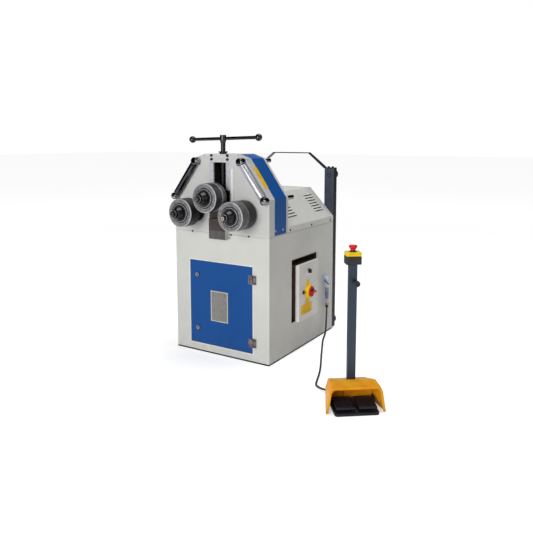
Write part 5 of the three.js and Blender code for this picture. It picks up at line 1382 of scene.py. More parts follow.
# Lock nuts and shaft noses
# A glossy black cone nut holds each roll on its threaded shaft. The shaft's end is
# black too, but for a turned face round its centre hole, brass-coloured with tarnish and
# lighter from roll to roll as painted highlight; the hole holds a near-black disc of painted shade.
nut_bend = 0.0022
shaft_tip_bend = 0.0009
nut_gloss = plain_finish("nut_gloss", (10, 10, 12), (20, 20, 24), (0.14, 0.26), 50.0, 0.0, 0.3)
tip_hole_shade = plain_finish("tip_hole_shade", (12, 11, 12), (24, 22, 22), (0.5, 0.7), 90.0, 0.0, 0.1)
# The tip faces go from dark brown on the left roll to near-white on the right: tarnish, with painted
# highlight on the lighter ones.
tip_tarnish_and_highlight_colours = {
    "left": ((150, 128, 112), (86, 68, 58)), "top": ((196, 160, 134), (120, 84, 62)),
    "right": ((232, 222, 206), (176, 158, 134))
}
tip_reach = {"left": 0.0092, "top": 0.0092, "right": 0.0112}
nut_bore = 0.0206
nut_radius = 0.0368
nut_tip_radius = 0.0262
nut_collar = 0.0125
tip_y = -0.59985
tip_hole_radius = 0.0050
tip_thread_radius = 0.0180
shaft_end_radius = 0.0122
shaft_radius = 0.0201
nut_band_radius = 0.0376


def nose(side, centre):
    """A cone nut and the shaft that shows in front of it, both turned about the roll's axis."""
    nut_low, nut_high = node_box(f"{side}_lock_nut")
    axis_place = (centre[0], 0.0, centre[2])
    rear, tip = nut_high[1], nut_low[1]
    cone = [
        (nut_bore, rear), (nut_radius, rear), (nut_radius, rear - nut_collar), (nut_tip_radius, tip),
        (nut_bore, tip), (nut_bore, rear)
    ]
    turned_piece(
        f"{side}_nut", cone, nut_bend, axis_place, nut_gloss, roll_bodies[side], "black_steel",
        f"{side}_lock_nut", steps=4, sides=96, closed=True
    )
    band = [
        (nut_radius, rear - 0.0105), (nut_band_radius, rear - 0.0100), (nut_band_radius, rear - 0.0012),
        (nut_radius, rear - 0.0006), (0.0366, rear - 0.003), (nut_radius, rear - 0.0105)
    ]
    steel = bright_metal(
        f"{side}_hub_steel", (44, 42, 44), (22, 21, 23), (0.3, 0.42), axis_place, scale=900.0
    )
    piece(
        f"{side}_nut_washer", turned(band, axis_place, closed=True), steel, roll_bodies[side],
        "bright_steel"
    )
    end = tip_y
    shaft = [
        (0.0, end + 0.008), (0.0036, end + 0.0075), (0.0048, end - 0.0001),
        (shaft_end_radius, end - 0.0001), (shaft_end_radius, end + 0.0121),
        (tip_thread_radius, end + 0.0121), (shaft_radius, end + 0.0142), (shaft_radius, rear - 0.004),
        (0.0, rear - 0.004)
    ]
    turned_piece(
        f"{side}_shaft_tip", shaft, shaft_tip_bend, axis_place, nut_gloss, roll_bodies[side], "black_steel"
    )
    tip_tones = bright_metal(f"{side}_tip_steel", *tip_tarnish_and_highlight_colours[side], (0.26, 0.4), axis_place, scale=900.0)
    reach = tip_reach[side]
    ring = [
        (0.0042, end + 0.0016), (tip_hole_radius, end - 0.0004), (reach - 0.0014, end - 0.0004),
        (reach, end + 0.0010), (reach, end + 0.0030), (0.0042, end + 0.0030), (0.0042, end + 0.0016)
    ]
    piece(f"{side}_tip_face", turned(ring, axis_place, sides=48), tip_tones, roll_bodies[side], "bright_steel")
    # A near-black disc a little inside the centre hole: painted shade.
    hole = [
        (0.0, end + 0.0002), (tip_hole_radius, end - 0.0001), (tip_hole_radius, end + 0.004),
        (0.0, end + 0.004)
    ]
    piece(
        f"{side}_tip_hole", turned(hole, axis_place, sides=32), tip_hole_shade, roll_bodies[side],
        "bright_steel"
    )


for roll_side, roll_centre in roll_places.items():
    nose(roll_side, roll_centre)


# Shafts, bearings and gears
# Bare steel shafts with a 42-tooth gear on each lower one, and the pinion between
# them. Blackened flanged bearings sit in the front plate.
bearing_bend = 0.0010
shaft_steel = bright_metal("shaft_steel", (168, 168, 170), (96, 94, 92), (0.28, 0.42), scale=500.0)
bearing_bore = 0.0262
bearing_lip = 0.0340
bearing_ring = 0.0500
bearing_flange = 0.0619
bearing_body = 0.0546
bearing_recess = 0.0012
shaft_edge = 0.0006
bearing_black = plain_finish("bearing_black", (34, 34, 37), (50, 50, 52), (0.26, 0.4), 90.0, 0.5, 0.4)
for shaft_node in ("top_shaft", "left_gear_shaft", "right_gear_shaft", "drive_pinion"):
    softened(shaft_node + "_look", shaft_node, shaft_edge, shaft_steel)

for bearing_side in ("left", "right"):
    bearing_low, bearing_high = node_box(f"front_bearing_{bearing_side}")
    bearing_centre = roll_places[bearing_side]
    flange_front = bearing_low[1]
    bearing_profile = [
        (bearing_bore, flange_front), (bearing_lip, flange_front),
        (bearing_lip, flange_front + bearing_recess), (bearing_ring, flange_front + bearing_recess),
        (bearing_ring, flange_front), (bearing_flange, flange_front), (bearing_flange, front_face - 0.0004),
        (bearing_body, front_face - 0.0004), (bearing_body, bearing_high[1]),
        (bearing_bore, bearing_high[1]), (bearing_bore, flange_front)
    ]
    turned_piece(
        f"bearing_{bearing_side}", bearing_profile, bearing_bend, bearing_centre, bearing_black, "machine",
        "black_steel", f"front_bearing_{bearing_side}", closed=True
    )


# Feed spindle
# A blackened spindle with a rolled thread below the crown and a plain neck above
# it, in a flanged nut on the head. It lifts and presses the slide.
crown_nut_bend = 0.0008
spindle_radius = 0.0129
thread_pitch = 0.006
thread_depth = 0.0009
thread_top = 1.098
crown_nut_bore = 0.0137
crown_nut_neck = 0.0199
crown_nut_flange = 0.0264
spindle_black = plain_finish("spindle_black", (18, 18, 21), (30, 30, 35), (0.2, 0.34), 60.0, 0.0, 0.3)


def feed_spindle():
    """A cylinder whose radius follows a rounded wave of the height in pitches plus the turn, so
    that the crest climbs as a thread; the wave fades out above the slot."""
    low, high = node_box("spindle")
    y = (low[1] + high[1]) / 2
    rings = np.concatenate([np.arange(low[2], thread_top, thread_pitch / 8), [high[2] - 0.0015, high[2]]])
    turn = np.linspace(0, 2 * math.pi, 40, endpoint=False)
    wave = 0.5 + 0.5 * np.cos(2 * math.pi * rings[:, None] / thread_pitch - turn[None, :])
    fade = np.clip((thread_top - 0.004 - rings[:, None]) / 0.006, 0.0, 1.0)
    radius = spindle_radius - thread_depth * (1 - wave**0.6) * fade
    shell = np.stack(
        [radius * np.cos(turn), y + radius * np.sin(turn), np.broadcast_to(rings[:, None], radius.shape)],
        -1
    )
    ends = np.stack([np.broadcast_to([0.0, y, level], shell[0].shape) for level in (low[2], high[2])])
    surface = np.concatenate([ends[:1], shell, ends[1:]])
    piece(
        "feed_screw", (surface, grid_faces(len(surface), 40)), spindle_black, "feed_spindle", "black_steel",
        "spindle", crease=60.0
    )
    return y


spindle_y = feed_spindle()
nut_low, nut_high = node_box("spindle_nut")
crown_top = front_high[2]
flange_profile = [
    (crown_nut_bore, nut_low[2]), (0.0168, nut_low[2]), (0.0168, crown_top + 0.0003),
    (crown_nut_neck, crown_top + 0.0003), (crown_nut_neck, nut_high[2] - 0.0080),
    (crown_nut_flange, nut_high[2] - 0.0062), (crown_nut_flange, nut_high[2] - 0.0020),
    (0.0215, nut_high[2]), (crown_nut_bore, nut_high[2]), (crown_nut_bore, nut_low[2])
]
turned_piece(
    "crown_nut", flange_profile, crown_nut_bend, (0.0, spindle_y, 0.0), spindle_black, "machine",
    "black_steel", "spindle_nut", axis=(0, 0, 1), closed=True
)


# T-handle
# A glossy black bar with two balls, pressed through a turned hub whose foot
# tapers into the spindle. It is turned by hand to set the top roll.
handle_hub_bend = 0.0022
handle_gloss = plain_finish("handle_gloss", (8, 8, 9), (16, 16, 18), (0.12, 0.2), 40.0, 0.0, 0.5)
handle_bar_half = 0.2226
handle_bar_shift = 0.010
handle_bar_radius = 0.0092
handle_lean = math.radians(1.5)
handle_bar_rise = 0.025
handle_hub_radius = 0.0172
handle_hub_height = 0.0446
handle_hub_taper = 0.013


def t_handle():
    """Hub and bar are turned profiles, the bar pressed in a little aslant. Each ball is a half
    circle turned about the bar's line."""
    low, high = node_box("t_handle")
    ball = (high[0] - low[0]) / 2 - handle_bar_half
    hub_foot = low[2] + 0.0002
    hub_top = hub_foot + handle_hub_height
    bar_z = low[2] + handle_bar_rise
    hub = [
        (0.0, hub_foot), (0.0134, hub_foot), (0.0145, hub_foot),
        (handle_hub_radius, hub_foot + handle_hub_taper), (handle_hub_radius, hub_top), (0.0, hub_top)
    ]
    angle = np.linspace(0, math.pi, 25)
    bar = [
        (0.0, -handle_bar_half), (handle_bar_radius, -handle_bar_half),
        (handle_bar_radius, handle_bar_half), (0.0, handle_bar_half)
    ]
    bar_way = np.array([math.cos(handle_lean), 0.0, math.sin(handle_lean)])
    bar_middle = np.array([0.0, spindle_y, bar_z]) + handle_bar_shift * bar_way
    round_end = np.column_stack([ball * np.sin(angle), -ball * np.cos(angle)])
    balls = [
        turned(round_end, bar_middle + side * handle_bar_half * bar_way, bar_way, sides=40)
        for side in (-1, 1)
    ]
    surface = joined(
        turned(rounded(hub, handle_hub_bend), (0.0, spindle_y, 0.0), (0, 0, 1), sides=56),
        turned(bar, bar_middle, bar_way, sides=32), *balls
    )
    piece("t_bar", surface, handle_gloss, "feed_spindle", "black_plastic", "t_handle", crease=50.0)


t_handle()


# Side guides
# On each shoulder a polished sleeve turns on a pin between two polished studs, which
# go through the head and have chamfered ends. The two sleeves are one steel, painted darker on the left and
# lighter on the right as painted reflections.
guide_sleeve_bend = 0.0007
guide_stud_bend = 0.0012
guide_sleeve_radius = 0.0190
guide_collar = 0.006
guide_groove = 0.0018
guide_groove_depth = 0.0016
guide_sleeve_bore = 0.0086
guide_sleeve_gaps = (0.0226, 0.0206)
guide_stud_radii = {"upper": 0.0219, "lower": 0.0199}
guide_stud_shank = 0.0129
guide_axis_y = -0.411
guide_pin_radius = 0.0079
guide_pin_gap = 0.009
stud_metal = bright_metal("guide_black", (176, 176, 182), (24, 24, 27), (0.06, 0.16), scale=60.0)
# The same polished steel twice: darker for the left sleeve, lighter for the right, as painted reflections.
sleeve_left_dark_reflection = bright_metal("sleeve_left_dark_reflection", (84, 85, 90), (44, 45, 50), (0.08, 0.14), scale=500.0)
sleeve_right_light_reflection = plain_finish("sleeve_right_light_reflection", (206, 207, 214), (172, 173, 182), (0.2, 0.32), 260.0, 0.4, 0.5)


def guide(side_name, side):
    """The sleeve's profile has a shallow groove near each end, turned about the sloping line
    between the studs' centres."""
    ends = {}
    for level in ("upper", "lower"):
        node_low, node_high = node_box(f"guide_stud_{level}_{side_name}")
        front, rear = node_low[1], node_high[1]
        radius = guide_stud_radii[level]
        outer = node_low[0] if (side < 0) == (level == "lower") else node_high[0]
        x = outer + radius * (1 if (side < 0) == (level == "lower") else -1)
        z = node_high[2] - radius if level == "upper" else node_low[2] + radius
        ends[level] = np.array([x, guide_axis_y, z])
        eye = [
            (0.0, front), (radius - 0.0065, front), (radius, front + 0.0062), (radius, front_face - 0.0004),
            (guide_stud_shank, front_face - 0.0004), (guide_stud_shank, rear), (0.0, rear)
        ]
        turned_piece(
            f"guide_eye_{level}_{side_name}", eye, guide_stud_bend, (x, 0.0, z), stud_metal, "machine",
            "black_steel", f"guide_stud_{level}_{side_name}", sides=56
        )
    upper, lower = ends["upper"], ends["lower"]
    way = (lower - upper) / np.linalg.norm(lower - upper)
    reach = np.linalg.norm(lower - upper)
    start, stop = guide_sleeve_gaps[0], reach - guide_sleeve_gaps[1]
    radius = guide_sleeve_radius
    sleeve = [
        (guide_sleeve_bore, start), (radius - 0.0015, start), (radius, start + 0.0015),
        (radius, start + guide_collar), (radius - guide_groove_depth, start + guide_collar),
        (radius - guide_groove_depth, start + guide_collar + guide_groove),
        (radius, start + guide_collar + guide_groove), (radius, stop - guide_collar - guide_groove),
        (radius - guide_groove_depth, stop - guide_collar - guide_groove),
        (radius - guide_groove_depth, stop - guide_collar), (radius, stop - guide_collar),
        (radius, stop - 0.0015), (radius - 0.0015, stop), (guide_sleeve_bore, stop)
    ]
    sleeve += [sleeve[0]]
    turned_piece(
        f"guide_tube_{side_name}", sleeve, guide_sleeve_bend, upper,
        sleeve_left_dark_reflection if side < 0 else sleeve_right_light_reflection, f"guide_{side_name}", "chrome",
        f"guide_sleeve_{side_name}", axis=way, closed=True
    )
    pin = [
        (0.0, 0.0), (guide_pin_radius, 0.0), (guide_pin_radius, reach - guide_pin_gap),
        (0.0, reach - guide_pin_gap)
    ]
    piece(
        f"guide_pin_{side_name}", turned(pin, upper, way, sides=32), shaft_steel, "machine", "bright_steel"
    )


guide("left", -1)
guide("right", 1)


# Drive
# A cast worm gearbox on the rear plate and a finned motor behind it, both in
# grey hammered paint. They are seen only through the louvres.
gearbox_edge = 0.003
motor_edge = 0.0008
cast_paint = plain_finish(
    "cast_paint", (90, 96, 104), (76, 82, 90), (0.4, 0.6), 55.0, shine=0.3, bump_height=0.2
)
softened("gearbox", "reduction_gearbox", gearbox_edge, cast_paint)
softened("motor", "drive_motor", motor_edge, cast_paint)


# Rear hood
# One folded sheet over the drive, screwed on the deck, with two groups of pressed
# louvres in each slope. Every louvre is a quarter bubble with its open edge down,
# over a thin dark strip of painted shade that stands for its slot.
hood_colour = (224, 224, 220)
hood_fold = 0.0022
louvre_length = 0.112
louvre_rows = 7
louvre_rise = (0.078, 0.168)
louvre_end_room = 0.063
louvre_reach = 0.0105
louvre_bulge = 0.0050
louvre_dark = (52, 50, 50)
louvre_foot = -0.0028
louvre_lift = 0.0002
louvre_wall = 0.0009
louvre_slot_width = 0.0032
louvre_slot_foot = -0.0026
louvre_slot_lift = 0.0003
louvre_slot_share = 0.94
slope_foot = 0.032
slope_head = 0.208
slope_top_half = 0.154
hood_screw_y = (-0.166, 0.091, 0.343)
hood_screw_z = 0.7212
hood_screw_radius = 0.0055
hood_screw_height = 0.0034

hood_low, hood_high = node_box("rear_hood")
hood_paint = coated_steel("hood_paint", hood_colour, (236, 236, 233), (hood_low, hood_high), peel=0.08)
hood = softened("hood", "rear_hood", hood_fold, hood_paint, flat=0.0)
hood.data.shade_flat()
hood.modifiers["rounding"].harden_normals = False

slope_fold = np.array([right_face, deck_top + slope_foot])
slope_crest = np.array([slope_top_half, deck_top + slope_head])
slope_up = (slope_crest - slope_fold) / np.linalg.norm(slope_crest - slope_fold)
slope_out = np.array([slope_up[1], -slope_up[0]])
louvre_middle = (hood_low[1] + hood_high[1]) / 2
louvre_offset = (hood_high[1] - hood_low[1]) / 2 - louvre_end_room - louvre_length / 2


def on_slope(side, run, along, height):
    """One grid for each louvre: the run is measured up the slope from the louvre's foot, the
    height square to the slope, and the share along it from its middle."""
    surfaces = []
    for y_middle in (louvre_middle - louvre_offset, louvre_middle + louvre_offset):
        for rise in np.linspace(*louvre_rise, louvre_rows):
            base = slope_fold + slope_up * (rise - slope_foot) / slope_up[1]
            flat = base + run[..., None] * slope_up + height[..., None] * slope_out
            y = y_middle + along * louvre_length / 2
            grid = np.stack(np.broadcast_arrays(side * flat[..., 0], y, flat[..., 1]), -1)
            surfaces.append((grid, grid_faces(*grid.shape[:2], False, False)))
    return joined(*surfaces)


def louvres(side):
    """Each louvre's height is a quarter ellipse across and a flat-topped arch along it. It is
    highest at its lower edge, which stands open over the cut."""
    along = np.linspace(-1.0, 1.0, 17)[None, :]
    across = np.linspace(0.0, 1.0, 7)[:, None]
    bulge = louvre_bulge * np.sqrt(1 - across**2 * 0.999) * (1 - along**6)
    return on_slope(side, louvre_foot + across * louvre_reach, along, bulge + louvre_lift)


def louvre_slots(side):
    """Each slot is a flat strip on the slope, just below its louvre's open edge."""
    run = np.array([[-louvre_slot_width], [0.0]]) + louvre_slot_foot
    return on_slope(side, run, louvre_slot_share * np.array([[-1.0, 1.0]]), np.array([[louvre_slot_lift]]))


louvre_shadow = plain_finish("louvre_shadow", louvre_dark, (38, 37, 38), (0.7, 0.85), 60.0, shine=0.1)
for hood_side, hood_sign in (("left", -1), ("right", 1)):
    cut = piece(f"louvre_slots_{hood_side}", louvre_slots(hood_sign), louvre_shadow, "machine", "hood_paint")
    pressed = piece(
        f"louvres_{hood_side}", louvres(hood_sign), hood_paint, "machine", "hood_paint", crease=60.0
    )
    for sheet, thickness in ((cut, louvre_slot_lift), (pressed, louvre_wall)):
        wall = sheet.modifiers.new("wall", "SOLIDIFY")
        wall.thickness = thickness
        wall.offset = 0.0
    hood_screw_places = [(hood_sign * right_face, y, hood_screw_z) for y in hood_screw_y]
    socket_screws(
        f"hood_screws_{hood_side}", hood_screw_places, (hood_sign, 0, 0), hood_screw_radius,
        hood_screw_height, screw_black, "machine", "black_steel"
    )


# Rear posts and arch
# Two steel tubes bolted to the cabinet's rear, slate with their +X sides near-black as
# painted shade, with rubber pucks for leaning the machine back and a folded bar on top.
post_washer_bend = 0.0006
post_colour = (66, 72, 88)
puck_radius = 0.0293
puck_thickness = 0.030
puck_drop = 0.037
puck_low_z = 0.048
post_bolt_z = 1.001
arch_bolt_half = 0.014
arch_foot_height = 0.0063
post_edge = 0.003
arch_edge = 0.0012
post_washer_radius = 0.0125
post_bolt_radius = 0.0085
post_bolt_height = 0.0052
arch_bolt_radius = 0.0075
arch_bolt_height = 0.0075
puck_edge = 0.004
post_paint = coated_steel(
    "post_paint", post_colour, (92, 98, 116), node_box("rear_post_right"), gloss=(0.32, 0.46), shine=0.3,
    peel=0.08
)
arch_paint = plain_finish("arch_paint", (34, 38, 48), (24, 27, 35), (0.32, 0.46), 30.0, shine=0.35)
puck_rubber = plain_finish("puck_rubber", (20, 20, 22), (34, 34, 36), (0.5, 0.7), 80.0, shine=0.25)
post_side_shade = plain_finish("post_side_shade", (14, 14, 17), (24, 24, 28), (0.45, 0.6), 30.0, shine=0.2)


def second_side(made, material):
    """Gives the faces that look to +X a second material."""
    mesh = made.data
    normal = np.zeros(len(mesh.polygons) * 3)
    mesh.polygons.foreach_get("normal", normal)
    mesh.materials.append(material)
    mesh.polygons.foreach_set("material_index", (normal[::3] > 0.7).astype(np.int32))


for post_side in ("left", "right"):
    post_node = f"rear_post_{post_side}"
    post_low, post_high = node_box(post_node)
    post = softened(f"post_{post_side}", post_node, post_edge, post_paint, steps=3)
    # Near-black on the +X faces: painted shade of the side away from the light.
    second_side(post, post_side_shade)
    post_x = (post_low[0] + post_high[0]) / 2
    post_back = post_high[1] - puck_thickness
    for puck_level, puck_z in (("upper", post_high[2] - puck_drop), ("lower", puck_low_z)):
        puck = [(0.0, post_back), (puck_radius, post_back), (puck_radius, post_high[1]), (0.0, post_high[1])]
        turned_piece(
            f"puck_{puck_level}_{post_side}", puck, puck_edge, (post_x, 0.0, puck_z), puck_rubber,
            "machine", "black_plastic", steps=4
        )
    bolt_ring = [
        (0.0, -0.0004), (post_washer_radius, -0.0004), (post_washer_radius, -0.0022), (0.0, -0.0022)
    ]
    bolt_place = (post_x, post_low[1], post_bolt_z)
    turned_piece(
        f"post_washer_{post_side}", bolt_ring, post_washer_bend, bolt_place, puck_rubber, "machine",
        "black_plastic"
    )
    socket_screws(
        f"post_bolt_{post_side}", [(post_x, post_low[1] - 0.0021, post_bolt_z)], (0, -1, 0),
        post_bolt_radius, post_bolt_height, chrome, "machine", "bright_steel"
    )
    arch_low, arch_high = node_box("rear_arch")
    bolt_y = (arch_low[1] + arch_high[1]) / 2
    foot_top = post_high[2] + arch_foot_height
    socket_screws(
        f"arch_bolts_{post_side}",
        [(post_x - arch_bolt_half, bolt_y, foot_top), (post_x + arch_bolt_half, bolt_y, foot_top)],
        (0, 0, 1), arch_bolt_radius, arch_bolt_height, screw_black, "machine", "black_steel"
    )
softened("arch", "rear_arch", arch_edge, arch_paint)


# Pedal socket and plug
# A moulded light grey panel socket with a black locking lever, and the cord's
# straight plug in an angled hood. Two brass screws clamp the cord in its foot.
clamp_screw_bend = 0.0008
plug_stub_bend = 0.001
saddle_bend = 0.0008
socket_screw_height = 0.0018
socket_screw_radius = 0.003
plug_wide = 0.0140
plug_slim = 0.0092
lever_edge = 0.0012
socket_edge = 0.0015
lever_ends = ((0.3445, 0.2290, 0.3570), (0.3715, 0.2315, 0.3330))
lever_half = 0.0042
lever_pin_place = (0.3490, 0.0, 0.3500)
latch_bar_half = 0.0026
socket_screw_half = 0.0175
saddle_radius = 0.0098
clamp_screw_side = 0.0092
plug_hood_foot = 0.196
plug_boot_colour = (190, 188, 222)
plug_cloud_colour = (120, 124, 150)
plug_steps = [
    ((0.231, 0.235), (116, 122, 162)), ((0.278, 0.281), (132, 152, 174)), ((0.303, 0.307), (226, 224, 250)),
    ((0.338, 0.342), (206, 222, 252))
]
socket_grey = plain_finish("socket_grey", (214, 222, 240), (196, 206, 226), (0.3, 0.45), 50.0, shine=0.4)


def plug_tones():
    """Boot, ring, collar and elbow are moulded in their own greys, told apart by height, with
    clouding over them."""
    material, tree, output, place = new_finish("plug_tones")
    height = add(tree, "SeparateXYZ", {"Vector": place}).outputs[2]
    colour = shade(*plug_boot_colour)
    for step, tone in plug_steps:
        colour = mixed(tree, between(tree, height, 0.0, 1.0, *step), colour, shade(*tone))
    cloud = noise(tree, place, 60.0, 4.0)
    dull = mixed(tree, between(tree, cloud, 0.0, 0.3, 0.4, 0.7), colour, shade(*plug_cloud_colour))
    surfaced(tree, output, dull, between(tree, cloud, 0.32, 0.46), {"Specular IOR Level": 0.35})
    return material


plug_finish = plug_tones()
brass = bright_metal(
    "brass", (228, 188, 92), (168, 122, 52), (0.2, 0.34), (cord_exit[0], cord_exit[1], 0.0), (0, 0, 1)
)

socket_low, socket_high = node_box("pedal_socket")
softened("panel_socket", "pedal_socket", socket_edge, socket_grey)
socket_middle = ((socket_low[1] + socket_high[1]) / 2, (socket_low[2] + socket_high[2]) / 2)
socket_screws(
    "socket_screws",
    [
        (socket_low[0] + 0.0041, socket_middle[0] + dy, socket_middle[1] + dz)
        for dy in (-socket_screw_half, socket_screw_half) for dz in (-socket_screw_half, socket_screw_half)
    ],
    (1, 0, 0), socket_screw_radius, socket_screw_height, screw_zinc, "machine", "bright_steel"
)


def plug_hood():
    """A turned hood: its half width falls along a straight line from the elbow to the foot, with
    a shallow step at each quarter, and a quarter circle closes the elbow over the stub."""
    low, high = node_box("cord_plug")
    x, y = cord_exit[0], cord_exit[1]
    elbow = high[2] - plug_wide
    quarters = np.linspace(elbow, plug_hood_foot, 5)
    widths = np.linspace(plug_wide, plug_slim, 5)
    steps = []
    for width, level in zip(widths[1:4], quarters[1:4]):
        steps += [(width - 0.0008, level), (width + 0.0002, level - 0.001)]
    angle = np.linspace(math.pi / 2, 0.0, 14)
    dome = np.column_stack([plug_wide * np.cos(angle), elbow + plug_wide * np.sin(angle)])
    dome[0, 0] = 0.0
    profile = np.vstack([dome, steps, [(plug_slim, plug_hood_foot), (0.0, plug_hood_foot)]])
    stub = [(0.0, low[0]), (plug_wide - 0.001, low[0]), (plug_wide - 0.001, x), (0.0, x)]
    piece(
        "cord_plug_hood",
        joined(
            turned(profile, (x, y, 0.0), (0, 0, 1), sides=48),
            turned(rounded(stub, plug_stub_bend), (0.0, y, elbow), (1, 0, 0), sides=48)
        ),
        plug_finish, "machine", "connector_grey", "cord_plug", crease=40.0
    )


def plug_clamp():
    """A black saddle round the cord under the hood, with a brass screw at each side of it."""
    low = node_box("cord_plug")[0]
    x, y = cord_exit[0], cord_exit[1]
    saddle = [
        (0.0, low[2]), (0.0072, low[2]), (saddle_radius, low[2] + 0.004),
        (saddle_radius, plug_hood_foot + 0.004), (0.0080, plug_hood_foot + 0.008),
        (0.0, plug_hood_foot + 0.008)
    ]
    made = [
        turned_piece(
            "cord_saddle", saddle, saddle_bend, (x, y, 0.0), selector_black, "machine", "black_plastic",
            axis=(0, 0, 1), sides=36
        )
    ]
    screw = [
        (0.0, x - 0.006), (0.0050, x - 0.006), (0.0050, x + 0.0085), (0.0034, x + 0.0112), (0.0, x + 0.0114)
    ]
    for side, name, level in ((-1, "front", 0.1995), (1, "rear", 0.1965)):
        made.append(
            turned_piece(
                f"cord_clamp_screw_{name}", screw, clamp_screw_bend,
                (0.0, y + side * clamp_screw_side, level), brass, "machine", "connector_grey",
                axis=(1, 0, 0), sides=28
            )
        )
    return made


def lever_bar(name, start, stop, half):
    """A square bar from start to stop: its two end frames, each four corners round the bar's
    line, are joined by walls and closed."""
    start, stop = np.array(start, float), np.array(stop, float)
    along = (stop - start) / np.linalg.norm(stop - start)
    across = np.cross(along, (1.0, 0.0, 0.0))
    corners = [(-1, -1), (1, -1), (1, 1), (-1, 1)]
    frame_offsets = np.array([a * half * across + b * half * np.array((1.0, 0.0, 0.0)) for a, b in corners])
    places = np.vstack([start + frame_offsets, stop + frame_offsets])
    faces = [(3, 2, 1, 0), (4, 5, 6, 7)] + [(i, (i + 1) % 4, (i + 1) % 4 + 4, i + 4) for i in range(4)]
    bevelled(piece(name, (places, faces), selector_black, "machine", "black_plastic"), lever_edge, 3)


plug_hood()
lever_x = socket_low[0] + 0.0108
lever_bar("socket_lever", *lever_ends, lever_half)
lever_pin = [(0.0, 0.2236), (0.0033, 0.2236), (0.0036, 0.2242), (0.0036, 0.2290), (0.0, 0.2290)]
piece("lever_pin", turned(lever_pin, lever_pin_place, sides=28), screw_zinc, "machine", "bright_steel")
lever_bar(
    "socket_latch", (lever_x, cord_exit[1] - 0.013, 0.3585), (lever_x, cord_exit[1] + 0.012, 0.3375),
    latch_bar_half
)
pedal_cord(plug_clamp())


# Pedal base and pedals
# A black cast base with a rib between two ribbed pedals, which turn on a pin at
# the back. The pedals are sprung up and are pressed with the toe.
foot_gland_bend = 0.0006
pedal_foot_edge = 0.003
pedal_edge = 0.0015
pedal_black = plain_finish(
    "pedal_black", (24, 24, 30), (38, 38, 46), (0.42, 0.62), 45.0, shine=0.22, bump_height=0.12
)
softened("pedal_foot", "pedal_base", pedal_foot_edge, pedal_black, steps=3)
for pedal_side in ("left", "right"):
    pedal_node = f"pedal_{pedal_side}"
    softened(f"{pedal_side}_pedal", pedal_node, pedal_edge, pedal_black)
gland_profile = [
    (0.0, 0.1796), (0.0085, 0.1796), (0.0085, 0.1866), (0.0068, 0.1918), (0.0059, 0.1941), (0.0, 0.1941)
]
gland_centre = at_station([(station_gland[0], 0.0, station_gland[2])])[0]
gland_way = (-math.sin(station_turn), math.cos(station_turn), 0.0)
turned_piece(
    "pedal_foot_gland", gland_profile, foot_gland_bend, gland_centre, selector_black, "machine",
    "black_plastic", axis=gland_way, sides=36
)


# Pedal guard
# A moulded orange hood over the pedals with a wide mouth in front and a web at each
# side of the boss inside. It is screwed on the base, and its corners are rounded.
guard_colour = (246, 180, 32)
guard_second = (236, 148, 14)
guard_grime_height = 0.05
guard_edge = 0.0035
guard_grime_colour = (120, 84, 40)


def moulded_orange():
    """Orange plastic in two near tones, with fine spark-eroded grain and scuffs near the floor."""
    material, tree, output, place = new_finish("moulded_orange")
    cloud = noise(tree, place, 14.0, 4.0)
    dirt = add(
        tree, "Group", {"Place": place, "Height": guard_grime_height}, node_tree=grime
    ).outputs["Mask"]
    tone = between(tree, cloud, 0.0, 1.0, 0.35, 0.65)
    plain = mixed(tree, tone, shade(*guard_colour), shade(*guard_second))
    colour = mixed(tree, calculated(tree, "MULTIPLY", dirt, 0.5), plain, shade(*guard_grime_colour))
    bump = (noise(tree, place, 700.0, 2.0), 0.10, 0.0006)
    rough = between(tree, cloud, 0.42, 0.55, 0.3, 0.7)
    surfaced(tree, output, colour, rough, {"Specular IOR Level": 0.2}, bump)
    return material


guard_orange = moulded_orange()
softened("guard", "pedal_guard", guard_edge, guard_orange, steps=4)
web_depth = 0.1475
web_thickness = 0.003
web_outline = [
    (0.033, 0.0166), (0.0885, 0.0166), (0.0885, 0.0126), (0.108, 0.0126), (0.105, 0.064), (0.094, 0.105),
    (0.033, 0.105)
]
for web_side, web_sign in (("left", -1), ("right", 1)):
    web_places = at_station([(web_sign * x, web_depth, z) for x, z in web_outline])
    web_way = (math.sin(station_turn), -math.cos(station_turn), 0.0)
    flat_plate(f"guard_web_{web_side}", web_places, web_way, guard_orange, "machine", web_thickness)


# Station post
# A flat steel tube standing on the guard's boss, in slate powder coat. The stop's
# cable leaves it through a black gland in front, near the top.
post_gland_bend = 0.0008
post_gland_place = (0.012, 0.0, 0.578)
post_front_depth = 0.146
post_gland_end = 0.094
post_gland_radius = 0.0143
post_gland_neck = 0.0112
post_gland_bore = 0.0074
station_edge = 0.0022
station_paint = coated_steel(
    "station_paint", (52, 64, 80), (82, 94, 112), node_box("station_post"), gloss=(0.34, 0.5), shine=0.3,
    edge=0.002
)
softened("station_tube", "station_post", station_edge, station_paint, steps=3)
station_rear = (-math.sin(station_turn), math.cos(station_turn), 0.0)
post_gland = [
    (0.0, post_gland_end - 0.0003), (post_gland_neck, post_gland_end - 0.0003),
    (post_gland_radius, post_gland_end + 0.003), (post_gland_radius, post_gland_end + 0.0145),
    (0.0118, post_gland_end + 0.0165), (post_gland_bore, post_gland_end + 0.0165),
    (post_gland_bore, post_front_depth - 0.012), (post_gland_neck, post_front_depth - 0.012),
    (post_gland_neck, post_front_depth + 0.0004), (0.0, post_front_depth + 0.0004)
]
turned_piece(
    "post_gland", post_gland, post_gland_bend, at_station([post_gland_place])[0], selector_black, "machine",
    "black_plastic", axis=station_rear, sides=40
)


